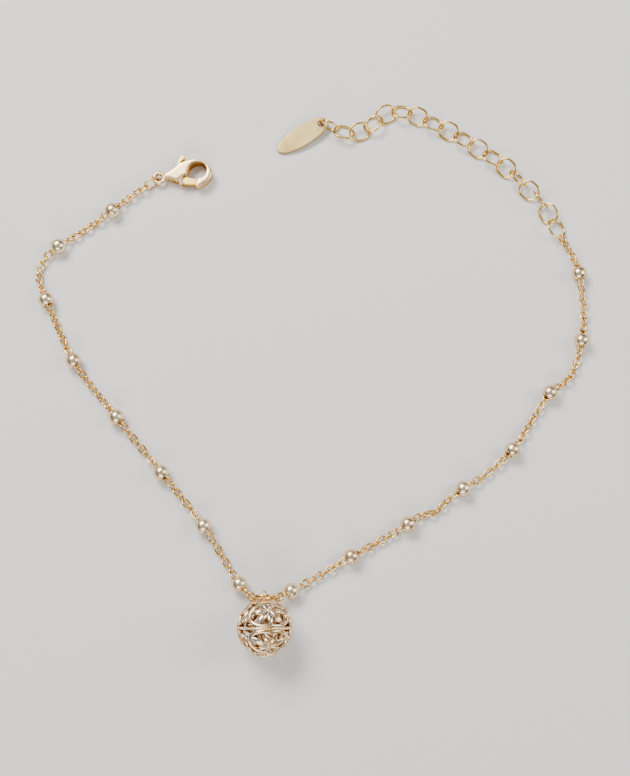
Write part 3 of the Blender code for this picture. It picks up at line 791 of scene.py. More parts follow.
# In each finish below, the last and darkest colour is painted shade, laid round holes and inside hollows
BEAD_FINISH = Finish(
    "pale_gold_beads",
    light=(0.97, 0.80, 0.55),
    deep=(0.91, 0.67, 0.39),
    edge_colour=(0.74, 0.40, 0.14),
    painted_shade_colour=(0.36, 0.17, 0.05),
    roughness=(0.25, 0.36),
    sheen=Sheen.MIRROR,
    grain_height=0.000002,
)
CHAIN_FINISH = Finish(
    "pale_gold_chain",
    light=(0.94, 0.66, 0.25),
    deep=(0.82, 0.49, 0.14),
    edge_colour=(0.75, 0.42, 0.14),
    painted_shade_colour=(0.45, 0.22, 0.07),
    roughness=(0.13, 0.26),
    sheen=Sheen.MIRROR,
    grain_height=0.000003,
    tone_scale=420.0,
)
EXTENDER_FINISH = Finish(
    "yellow_gold_extender",
    light=(0.95, 0.71, 0.25),
    deep=(0.84, 0.52, 0.12),
    edge_colour=(0.75, 0.40, 0.10),
    painted_shade_colour=(0.45, 0.22, 0.06),
    roughness=(0.14, 0.28),
    sheen=Sheen.MIRROR,
    grain_height=0.000003,
)
CLASP_FINISH = Finish(
    "satin_rose_gold",
    light=(0.98, 0.77, 0.47),
    deep=(0.94, 0.67, 0.36),
    edge_colour=(0.82, 0.52, 0.24),
    painted_shade_colour=(0.50, 0.29, 0.09),
    roughness=(0.24, 0.38),
    sheen=Sheen.SATIN,
    grain_height=0.000004,
)
GATE_FINISH = Finish(
    "satin_yellow_gate",
    light=(0.85, 0.61, 0.19),
    deep=(0.78, 0.51, 0.13),
    edge_colour=(0.74, 0.42, 0.12),
    painted_shade_colour=(0.50, 0.28, 0.08),
    roughness=(0.26, 0.40),
    sheen=Sheen.SATIN,
    grain_height=0.000004,
)
TAG_FINISH = Finish(
    "matte_champagne",
    light=(0.54, 0.415, 0.19),
    deep=(0.465, 0.335, 0.135),
    edge_colour=(0.72, 0.52, 0.27),
    painted_shade_colour=(0.30, 0.15, 0.05),
    roughness=(0.42, 0.56),
    sheen=Sheen.MATTE,
    grain_height=0.000005,
    tone_scale=150.0,
)
# The ball's shade colour is a dark amber painted inside it, standing in for the shade and the warm reflections
# within the openwork
BALL_FINISH = Finish(
    "openwork_gold",
    light=(0.99, 0.86, 0.62),
    deep=(0.88, 0.58, 0.26),
    edge_colour=(0.72, 0.34, 0.08),
    painted_shade_colour=(0.38, 0.15, 0.025),
    roughness=(0.13, 0.25),
    sheen=Sheen.MIRROR,
    grain_height=0.000006,
    tone_scale=380.0,
)


def finish_piece(
    piece: bpy.types.Object,
    material: bpy.types.Material,
    node: str,
    body: str = ROOT_BODY,
) -> None:
    """Dresses a piece, ties it to its body and hides the node that it stands for.

    Args:
        piece: The finished mesh.
        material: Its material.
        node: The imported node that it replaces.
        body: The body that it rides on.
    """
    piece.data.materials.clear()
    piece.data.materials.append(material)
    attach(piece, body)
    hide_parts(node)
    LOG.info("%s stands for %s: %d faces", piece.name, node, len(piece.data.polygons))


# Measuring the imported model


def box_middle(node: str) -> Vector:
    """The middle of a node's box."""
    low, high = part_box(node)
    return (low + high) / 2


def measured(node: str) -> tuple[Matrix, Vector]:
    """Measures how a symmetric node lies.

    Args:
        node: The node's name.

    Returns:
        Its frame, X along its longest side and Z along its shortest, and its three extents.
    """
    corners = np.array([tuple(corner.co) for corner in frame["nodes"][node].data.vertices])
    corners = np.unique(np.round(corners, 7), axis=0)
    centred = corners - corners.mean(axis=0)
    _, _, axes = np.linalg.svd(centred, full_matrices=False)
    if np.linalg.det(axes) < 0:
        axes[2] = -axes[2]
    if axes[2][2] < 0:
        axes[1], axes[2] = -axes[1], -axes[2]
    along = corners @ axes.T
    low, high = along.min(axis=0), along.max(axis=0)
    middle = ((low + high) / 2) @ axes
    turn = Matrix([list(row) for row in axes]).transposed().to_4x4()
    return Matrix.Translation(middle) @ turn, Vector(high - low)


class Route:
    """A smooth plan curve through chosen points, measured along its length and straight past its ends."""

    STEPS = 24

    def __init__(self, points: Sequence[Sequence[float]]) -> None:
        """Samples the curve.

        Args:
            points: The chosen plan points, in metres.
        """
        spots = [Vector(point) for point in points]
        line = [2 * spots[0] - spots[1], *spots, 2 * spots[-1] - spots[-2]]
        self.samples = [spots[0]]
        self.marks = [0]
        for p0, p1, p2, p3 in zip(line, line[1:], line[2:], line[3:]):
            for step in range(1, self.STEPS + 1):
                t = step / self.STEPS
                self.samples.append(
                    0.5 * (2 * p1 + (p2 - p0) * t)
                    + 0.5 * (2 * p0 - 5 * p1 + 4 * p2 - p3) * t**2
                    + 0.5 * (3 * p1 - p0 - 3 * p2 + p3) * t**3
                )
            self.marks.append(len(self.samples) - 1)
        self.lengths = [0.0]
        for first, second in zip(self.samples, self.samples[1:]):
            self.lengths.append(self.lengths[-1] + (second - first).length)

    @property
    def length(self) -> float:
        """The curve's length."""
        return self.lengths[-1]

    def mark(self, index: int) -> float:
        """How far along the curve a chosen point lies."""
        return self.lengths[self.marks[index]]

    def direction(self, distance: float) -> Vector:
        """The curve's plan direction at a distance."""
        distance = min(max(distance, 0.0), self.length)
        index = next((i for i, length in enumerate(self.lengths) if length > distance), -1)
        return (self.samples[index] - self.samples[index - 1]).normalized()

    def point(self, distance: float) -> Vector:
        """The curve's plan point at a distance."""
        if distance <= 0:
            return self.samples[0] + self.direction(0) * distance
        if distance >= self.length:
            return self.samples[-1] + self.direction(self.length) * (distance - self.length)
        index = next(i for i, length in enumerate(self.lengths) if length > distance)
        run = self.lengths[index] - self.lengths[index - 1]
        share = (distance - self.lengths[index - 1]) / run
        return self.samples[index - 1].lerp(self.samples[index], share)


# Wire links and rings


@dataclass(frozen=True)
class WireLink:
    """An oval link of round wire, its length along X and its width along Y."""

    length: float
    width: float
    wire: float
    path_steps: int = 36
    wire_sides: int = 14

    @property
    def half_length(self) -> float:
        """From the middle to the wire's middle at an end."""
        return (self.length - self.wire) / 2

    @property
    def half_width(self) -> float:
        """From the middle to the wire's middle at a side."""
        return (self.width - self.wire) / 2

    def model(self, name: str) -> bpy.types.Object:
        """Models the link round the origin: a ring, pulled apart in its middle.

        Args:
            name: The piece's name.

        Returns:
            The link.
        """
        clear_selection()
        bpy.ops.mesh.primitive_torus_add(
            major_segments=self.path_steps,
            minor_segments=self.wire_sides,
            major_radius=self.half_width,
            minor_radius=self.wire / 2,
        )
        piece = named(name)
        half_step = Matrix.Rotation(math.pi / self.path_steps, 3, "Z")
        straight = self.half_length - self.half_width

        def pulled(point: Vector) -> Vector:
            point = half_step @ point
            shift = math.copysign(straight, point.x)
            return Vector((point.x + shift, point.y, point.z))

        remap(piece, pulled)
        smooth(piece, 60.0)
        return piece


@dataclass
class WireRings:
    """The single wire rings: the pendant's ring, the clasp's end link, the extender and the tag's ring."""

    extender_links: int = 17
    pendant_wire: float = 0.6 * MM
    end_link_wire: float = 0.42 * MM
    extender_wire: float = 0.46 * MM

    def ring_for(self, node: str, wire: float, name: str) -> bpy.types.Object:
        """Models a fine wire ring in the place of a node.

        Args:
            node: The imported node.
            wire: The wire's diameter.
            name: The piece's name.

        Returns:
            The ring.
        """
        place, extents = measured(node)
        link = WireLink(extents.x, extents.y, wire)
        piece = link.model(name)
        piece.data.transform(place)
        return piece

    def build(self) -> None:
        """Builds every ring in its place."""
        chain = CHAIN_FINISH.material(suffix="_rings")
        yellow = EXTENDER_FINISH.material()
        ring = self.ring_for("pendant_ring", self.pendant_wire, "pendant_ring_wire")
        finish_piece(ring, chain, "pendant_ring")
        link = self.ring_for("clasp_end_link", self.end_link_wire, "clasp_end_link_wire")
        finish_piece(link, chain, "clasp_end_link")
        for number in range(1, self.extender_links + 1):
            node = f"extender_link_{number:02d}"
            piece = self.ring_for(node, self.extender_wire, f"extender_wire_{number:02d}")
            finish_piece(piece, yellow, node)
        ring = self.ring_for("tag_ring", self.extender_wire, "tag_ring_wire")
        finish_piece(ring, yellow, "tag_ring")


# Strands: fine links and beads


@dataclass
class Strand:
    """One half of the chain: small links hooked in each other, and the beads that they pass through."""

    side: str
    rows: tuple[tuple[str, float, float], ...]
    toward: int
    end_height: float
    end_roll: float
    link_length: float = 2.18 * MM
    link_width: float = 1.62 * MM
    link_wire: float = 0.4 * MM
    link_slack: float = 0.02 * MM
    hook_distance: float = 0.4 * MM
    hook_wire: float = 0.4 * MM
    lay_height: float = 0.8 * MM
    rise_length: float = 5.0 * MM
    twist_swing: float = 18.0
    twist_waves: int = 5
    ring_wire: float = 0.6 * MM
    join_angle: float = 25.0
    bead_radius: float = 1.5 * MM
    bead_bore: float = 0.72 * MM
    bead_lip: float = 0.2 * MM
    bead_edge: float = 0.05 * MM
    bead_profile_steps: int = 18
    bead_turn_steps: int = 40
    # How far the painted shade round the bore reaches, as a share of the bead's radius
    bead_shade_share: float = 0.7

    def ring_hook(self) -> Vector:
        """Where the strand is hooked to the pendant ring.

        Returns:
            The middle of the ring's wire there.
        """
        low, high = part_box("pendant_ring")
        radius = (high.x - low.x - self.ring_wire) / 2
        angle = math.radians(self.join_angle)
        offset = Vector((self.toward * radius * math.cos(angle), 0.0, -radius * math.sin(angle)))
        return (low + high) / 2 + offset

    def plan(self) -> Route:
        """The strand's route, from its hook on the pendant ring."""
        hook = self.ring_hook()
        return Route([(hook.x, hook.y), *[(x * MM, y * MM) for _, x, y in self.rows]])

    def height(self, distance: float, peaks: Sequence[tuple[float, float]]) -> float:
        """How high the chain's middle is.

        Args:
            distance: Along the route.
            peaks: Where it is held up, as (distance, height).

        Returns:
            The height above the floor.
        """
        height = self.lay_height
        for place, top in peaks:
            share = min(abs(distance - place) / self.rise_length, 1.0)
            rise = (top - self.lay_height) * math.cos(share * math.pi / 2) ** 2
            height = max(height, self.lay_height + rise)
        return height

    def link_places(self, route: Route, peaks: Sequence[tuple[float, float]]) -> list[Matrix]:
        """Where each link of the strand goes.

        Args:
            route: The strand's route.
            peaks: Where it is held up.

        Returns:
            One frame for each link, X along the chain.
        """
        half = (self.link_length - self.link_wire) / 2
        first = half - (self.ring_wire + self.link_wire) / 2 - self.link_slack
        past = self.hook_distance + (self.hook_wire + self.link_wire) / 2 + self.link_slack
        last = route.length + past - half
        pitch = self.link_length - 2 * self.link_wire - self.link_slack
        steps = round((last - first) / pitch)
        final = self.end_roll + 90.0 - 90.0 * (steps % 2)
        ramp = (final + 90.0) % 180.0 - 90.0
        places = []
        for number in range(steps + 1):
            share = number / steps
            distance = first + (last - first) * share
            ends = []
            for spot in (distance - half, distance + half):
                plan = route.point(spot)
                ends.append(Vector((plan.x, plan.y, self.height(spot, peaks))))
            along = (ends[1] - ends[0]).normalized()
            side = Vector((-along.y, along.x, 0)).normalized()
            up = along.cross(side)
            turn = Matrix((along, side, up)).transposed().to_4x4()
            swing = self.twist_swing * math.sin(math.tau * self.twist_waves * share)
            roll = math.radians(ramp * share + swing + 90.0 * (number % 2))
            middle = (ends[0] + ends[1]) / 2
            places.append(Matrix.Translation(middle) @ turn @ Matrix.Rotation(roll, 4, "X"))
        return places

    def bead_model(self) -> bpy.types.Object:
        """Models a drilled bead round the origin, its bore along X and its ends cut flat.

        Returns:
            The bead.
        """
        start = math.asin((self.bead_bore + self.bead_lip) / self.bead_radius)
        end_x = self.bead_radius * math.cos(start)
        profile = arc((0.0, 0.0), self.bead_radius, start, math.pi - start, self.bead_profile_steps)
        edge = self.bead_edge
        inner = [(-end_x, self.bead_bore + edge), (edge - end_x, self.bead_bore)]
        inner += [(end_x - edge, self.bead_bore), (end_x, self.bead_bore + edge)]
        bead = turned("bead_pattern", profile + inner, self.bead_turn_steps)
        smooth(bead, 30.0)
        return bead

    def build(self, chain_metal: bpy.types.Material) -> None:
        """Builds the strand's links and beads.

        Args:
            chain_metal: The links' material.
        """
        route = self.plan()
        beads = [route.mark(i + 1) for i, row in enumerate(self.rows) if row[0] == "bead"]
        peaks = [(mark, self.bead_radius) for mark in beads]
        peaks += [(0.0, self.ring_hook().z), (route.length, self.end_height)]
        link = WireLink(self.link_length, self.link_width, self.link_wire, 14, 8)
        pattern = link.model("chain_link_pattern")
        links = strung(f"chain_links_{self.side}", pattern, self.link_places(route, peaks))
        discard(pattern)
        smooth(links, 60.0)
        finish_piece(links, chain_metal, f"strand_{self.side}")
        bead = self.bead_model()
        for number, mark in enumerate(beads, start=1):
            node = f"bead_{self.side}_{number}"
            middle = box_middle(node)
            heading = route.direction(mark)
            turn = Matrix.Rotation(math.atan2(heading.y, heading.x), 4, "Z")
            piece = copy_at(bead, f"{node}_polished", Matrix.Translation(middle) @ turn)
            # Painted shade round the bead's bore, darker in towards the hole
            reach = math.hypot(self.bead_bore, self.bead_radius * self.bead_shade_share)
            painted_shade = PaintedShade(tuple(middle), self.bead_bore, reach - self.bead_bore / 2)
            metal = BEAD_FINISH.material([painted_shade], f"_{self.side}_{number}")
            finish_piece(piece, metal, node)
        discard(bead)


# Openwork ball

# The wire's radius in the ring of radius 1 that an arch or a band is laid from
UNIT_RING_WIRE = 0.1


class Half(Enum):
    """The two halves of the ball; the value is the side of the seam along the ball's axis."""

    EYE = 1
    OPEN = -1


@dataclass(frozen=True)
class Rosette:
    """A flower of petals in an arch; angles are from its half's pole and about the ball's axis."""

    longitude: float
    colatitude: float
    half_height: float
    half_width: float
    bar: float
    shift: float

    def arch(self, turn: float) -> float:
        """How far the middle of the arch is from the flower's centre, towards this turn."""
        return 1 / math.hypot(math.cos(turn) / self.half_height, math.sin(turn) / self.half_width)

    def arch_from_boss(self, turn: float) -> float:
        """How far the arch's inner edge is from the boss, which is shifted to the pole.

        Args:
            turn: The direction from the boss; 0 is towards the seam.

        Returns:
            The distance, as an angle.
        """
        high, wide = self.half_height - self.bar / 2, self.half_width - self.bar / 2
        across, up = math.sin(turn) / wide, math.cos(turn) / high
        shift = self.shift / high
        square = across**2 + up**2
        return (up * shift + math.sqrt((up * shift) ** 2 + square * (1 - shift**2))) / square

    def from_boss(self, distance: float, turn: float, side: float = 0.0) -> tuple[float, float]:
        """A place beside the boss.

        Args:
            distance: The angle from the boss.
            turn: The direction; 0 is towards the seam.
            side: A step to the side of that direction, as an angle.

        Returns:
            Its colatitude and longitude.
        """
        x = distance * math.cos(turn) - side * math.sin(turn) - self.shift
        y = distance * math.sin(turn) + side * math.cos(turn)
        return self.spot(math.hypot(x, y), math.atan2(y, x))

    def spot(self, distance: float, turn: float) -> tuple[float, float]:
        """A place beside the flower's centre.

        Args:
            distance: The angle from the centre.
            turn: The direction; 0 is towards the seam.

        Returns:
            Its colatitude and longitude.
        """
        c = self.colatitude
        out = Vector((math.sin(c), 0, math.cos(c)))
        down = Vector((math.cos(c), 0, -math.sin(c)))
        across = Vector((0, 1, 0))
        side = math.cos(turn) * down + math.sin(turn) * across
        point = math.cos(distance) * out + math.sin(distance) * side
        return math.acos(point.z), self.longitude + math.atan2(point.y, point.x)


@dataclass
class OpenworkBall:
    """The pendant ball: arches, petals, hubs, beaded seam and pole rims, and the eye for the ring."""

    radius: float = 5.03 * MM
    shell: float = 0.5 * MM
    tilt: float = 7.0
    turn: float = 45.0
    flowers: int = 3
    petals: int = 8
    rim_angle: float = 23.0
    rim_band: float = 4.5
    seam_band: float = 4.0
    arch_width: float = 0.86 * MM
    arch_depth: float = 0.64 * MM
    petal_width: float = 1.75 * MM
    petal_stem: float = 0.34 * MM
    petal_depth: float = 0.55 * MM
    bud_width: float = 0.7 * MM
    bud_reach: float = 24.0
    boss_radius: float = 0.5 * MM
    boss_shift: float = 9.0
    collar_angle: float = 21.5
    collar_reach: float = 5.5 * MM
    grain_radius: float = 0.23 * MM
    grain_gap: float = 0.05 * MM
    eye_radius: float = 0.78 * MM
    eye_wire: float = 0.6 * MM
    seam_reach: float = 5.145 * MM
    seam_spread: float = 0.8
    collar_spread: float = 2.0
    rim_grain_rise: float = 0.1 * MM
    rim_grain_share: float = 0.85
    arch_inset: float = 0.2
    seam_inset: float = 0.9
    seam_focus: int = 6
    leaf_lean: float = 1.2
    leaf_taper: float = 1.4
    leaf_blunt: float = 0.3
    leaf_crown: float = 1.3
    leaf_belly: float = 0.7
    stem_depth: float = 0.6
    # Where, in shells below the surface, the painted shade inside the ball is full and where it fades out
    shade_shells: tuple[float, float] = (1.05, 0.35)

    def flower(self, number: int) -> Rosette:
        """One of the flowers round a half; both halves have the same.

        Args:
            number: Which flower, counted round the axis.

        Returns:
            Its place and size as angles.
        """
        low = math.radians(self.rim_angle + self.rim_band / 2)
        high = math.pi / 2 - math.radians(self.seam_band / 2)
        colatitude = (low + high) / 2
        half_width = math.asin(math.sin(colatitude) * math.sin(math.pi / self.flowers))
        longitude = math.radians(self.turn) + math.tau * number / self.flowers
        bar, shift = self.arch_width / self.radius, math.radians(self.boss_shift)
        return Rosette(longitude, colatitude, (high - low) / 2, half_width, bar, shift)

    def on_ball(self, half: Half, colatitude: float, longitude: float, rise: float) -> Vector:
        """A point on the ball, its axis along Z.

        Args:
            half: Which half.
            colatitude: The angle from that half's pole.
            longitude: The angle about the axis.
            rise: How far it is above the middle of the shell.

        Returns:
            The point.
        """
        far = self.radius - self.shell / 2 + rise
        flat = far * math.sin(colatitude)
        height = half.value * far * math.cos(colatitude)
        return Vector((flat * math.cos(longitude), flat * math.sin(longitude), height))

    def arch(self, half: Half, flower: Rosette) -> bpy.types.Object:
        """Models an arch: a ring laid on the ball along the flower's edge.

        Args:
            half: Which half.
            flower: The flower that it frames.

        Returns:
            The arch.
        """
        clear_selection()
        bpy.ops.mesh.primitive_torus_add(
            major_segments=72, minor_segments=10, major_radius=1.0, minor_radius=UNIT_RING_WIRE
        )
        piece = named("arch")
        half_bar = flower.bar / 2

        def laid(point: Vector) -> Vector:
            turn = math.atan2(point.y, point.x)
            offset = (math.hypot(point.x, point.y) - 1.0) / UNIT_RING_WIRE
            inset = self.arch_inset + self.seam_inset * max(math.cos(turn), 0.0) ** self.seam_focus
            colatitude, longitude = flower.spot(flower.arch(turn) + (offset - inset) * half_bar, turn)
            return self.on_ball(half, colatitude, longitude, point.z / UNIT_RING_WIRE * self.arch_depth / 2)

        remap(piece, laid)
        return piece

    def leaf(
        self, half: Half, spot: Callable[[float, float], tuple[float, float]], width: float
    ) -> bpy.types.Object:
        """Models a leaf: a small ball drawn out along the big one's surface.

        Args:
            half: Which half.
            spot: Gives a colatitude and longitude from a share of the length and an angle to the side.
            width: The leaf's greatest width.

        Returns:
            The leaf.
        """
        clear_selection()
        bpy.ops.mesh.primitive_uv_sphere_add(segments=14, ring_count=16, radius=1.0)
        piece = named("leaf")
        stem, widest = self.petal_stem / 2 / self.radius, width / 2 / self.radius

        def drawn(point: Vector) -> Vector:
            along = (point.z + 1) / 2
            around = math.atan2(point.y, point.x)
            swell = math.sin(math.pi * along**self.leaf_lean) ** self.leaf_taper
            end = math.hypot(point.x, point.y) ** self.leaf_blunt
            colatitude, longitude = spot(along, (stem + (widest - stem) * swell) * end * math.cos(around))
            ridge = self.petal_depth / 2 * (self.stem_depth + (1 - self.stem_depth) * swell) * end
            rise = ridge * math.sin(around)
            rise *= self.leaf_crown if rise > 0 else self.leaf_belly
            return self.on_ball(half, colatitude, longitude, rise)

        remap(piece, drawn)
        return piece

    def petal(self, half: Half, flower: Rosette, turn: float) -> bpy.types.Object:
        """Models a petal, from the boss to the arch.

        Args:
            half: Which half.
            flower: The flower that it belongs to.
            turn: Its direction from the boss; 0 is towards the seam.

        Returns:
            The petal.
        """
        near = self.boss_radius * 0.3 / self.radius
        inner = flower.arch_from_boss(turn)
        far = inner + flower.bar * 0.2
        reach = (inner - self.boss_radius / self.radius) / flower.half_width
        width = max(self.petal_width * reach, self.petal_stem)
        return self.leaf(
            half, lambda along, side: flower.from_boss(near + (far - near) * along, turn, side), width
        )

    def bud(self, half: Half, flower: Rosette) -> bpy.types.Object:
        """Models the bud that stands on the seam between a flower's arch and the next one.

        Args:
            half: Which half.
            flower: The flower that comes before it.

        Returns:
            The bud.
        """
        edge = flower.longitude + math.pi / self.flowers
        low = math.pi / 2 - math.radians(self.seam_band / 2)
        reach = math.radians(self.bud_reach)
        return self.leaf(half, lambda along, side: (low - reach * along, edge + side), self.bud_width)

    def boss(self, half: Half, flower: Rosette) -> bpy.types.Object:
        """Models the small dome that a flower's petals grow from.

        Args:
            half: Which half.
            flower: The flower that it belongs to.

        Returns:
            The boss.
        """
        clear_selection()
        bpy.ops.mesh.primitive_uv_sphere_add(segments=16, ring_count=10, radius=1.0)
        piece = named("boss")

        def laid(point: Vector) -> Vector:
            distance = math.hypot(point.x, point.y) * self.boss_radius / self.radius
            colatitude, longitude = flower.from_boss(distance, math.atan2(point.y, point.x))
            return self.on_ball(half, colatitude, longitude, point.z * self.shell * 0.66)

        remap(piece, laid)
        return piece

    def band(
        self, half: Half, colatitude: float, half_angle: float, depth: float, lift: float = 0.0
    ) -> bpy.types.Object:
        """Models a smooth band round the axis.

        Args:
            half: Which half it is measured from.
            colatitude: The angle of its middle from the pole.
            half_angle: Half its width, as an angle.
            depth: How thick it is.
            lift: How far it stands out from the shell.

        Returns:
            The band.
        """
        clear_selection()
        bpy.ops.mesh.primitive_torus_add(
            major_segments=96, minor_segments=12, major_radius=1.0, minor_radius=UNIT_RING_WIRE
        )
        piece = named("band")

        def laid(point: Vector) -> Vector:
            offset = (math.hypot(point.x, point.y) - 1.0) / UNIT_RING_WIRE
            spread = point.z / UNIT_RING_WIRE
            rise = lift + math.copysign(abs(offset) ** 0.7, offset) * depth / 2
            return self.on_ball(half, colatitude + spread * half_angle, math.atan2(point.y, point.x), rise)

        remap(piece, laid)
        return piece

    def grains(self, half: Half, colatitude: float, reach: float, radius: float) -> bpy.types.Object:
        """Models a row of fine grains round the axis.

        Args:
            half: Which half it is measured from.
            colatitude: The row's angle from the pole.
            reach: How far the grains' tops are from the ball's middle.
            radius: A grain's radius.

        Returns:
            The joined row.
        """
        clear_selection()
        bpy.ops.mesh.primitive_uv_sphere_add(segments=10, ring_count=7, radius=radius)
        pattern = named("grain_pattern")
        ring = (reach - radius) * math.sin(colatitude)
        height = half.value * (reach - radius) * math.cos(colatitude)
        count = round(math.tau * ring / (2 * radius + self.grain_gap))
        places = []
        for number in range(count):
            turn = Matrix.Rotation(math.tau * number / count, 4, "Z")
            places.append(turn @ Matrix.Translation((ring, 0, height)))
        row = strung("grain_row", pattern, places)
        discard(pattern)
        return row

    def cap(self) -> bpy.types.Object:
        """Models the closed pole that carries the eye: a shallow dome."""
        clear_selection()
        bpy.ops.mesh.primitive_uv_sphere_add(segments=48, ring_count=16, radius=1.0)
        piece = named("cap")
        limit = math.radians(self.rim_angle)

        def laid(point: Vector) -> Vector:
            colatitude = math.hypot(point.x, point.y) * limit
            rise = point.z * self.shell / 2
            return self.on_ball(Half.EYE, colatitude, math.atan2(point.y, point.x), rise)

        remap(piece, laid)
        return piece

    def eye(self) -> bpy.types.Object:
        """Models the wire eye that stands on the closed pole."""
        width = 2 * self.eye_radius + self.eye_wire
        piece = WireLink(width, width, self.eye_wire, 32, 14).model("ball_eye_wire")
        stand = Matrix.Translation((0, 0, self.eye_distance)) @ Matrix.Rotation(math.pi / 2, 4, "Y")
        piece.data.transform(stand)
        return piece

    @property
    def eye_distance(self) -> float:
        """From the ball's middle to the eye's middle."""
        return self.radius + self.eye_radius - self.shell / 2 + self.eye_wire / 4

    def build(self) -> None:
        """Builds the ball in its place."""
        parts: list[bpy.types.Object] = []
        step = math.tau / self.petals
        rim = math.radians(self.rim_angle + self.rim_band / 2)
        rim_reach, rim_grain = self.radius + self.rim_grain_rise, self.grain_radius * self.rim_grain_share
        for half in Half:
            first = step / 2 if half is Half.OPEN else 0.0
            for number in range(self.flowers):
                flower = self.flower(number)
                parts.append(self.arch(half, flower))
                parts.append(self.boss(half, flower))
                parts.append(self.bud(half, flower))
                parts += [self.petal(half, flower, first + step * petal) for petal in range(self.petals)]
            parts.append(self.band(half, rim, math.radians(self.rim_band / 2), self.shell))
            parts.append(self.grains(half, rim, rim_reach, rim_grain))
        collar, spread = math.radians(self.collar_angle), math.radians(self.collar_spread)
        stand = self.collar_reach - self.radius
        parts.append(self.band(Half.OPEN, collar, spread, self.shell + stand, stand / 2))
        parts.append(self.grains(Half.OPEN, collar, self.collar_reach, self.grain_radius))
        seam = math.radians(self.seam_band * self.seam_spread)
        parts.append(self.band(Half.EYE, math.pi / 2, seam, self.shell))
        parts.append(self.grains(Half.EYE, math.pi / 2, self.seam_reach, self.grain_radius))
        parts.append(self.cap())
        parts.append(self.eye())
        ball = join(parts, "ball_openwork")
        face_out(ball)
        ring = box_middle("pendant_ring")
        box = box_middle("pendant_ball")
        lean = math.radians(self.tilt)
        middle = Vector((ring.x, ring.y - self.eye_distance * math.cos(lean), box.z))
        ball.data.transform(Matrix.Translation(middle) @ Matrix.Rotation(lean - math.pi / 2, 4, "X"))
        smooth(ball, 50.0)
        # Painted amber shade inside the ball, full towards its middle and fading out below the surface
        near, far = (self.radius - self.shell * share for share in self.shade_shells)
        painted_shade = PaintedShade(tuple(middle), near, far)
        finish_piece(ball, BALL_FINISH.material([painted_shade]), "pendant_ball")


# Clasp


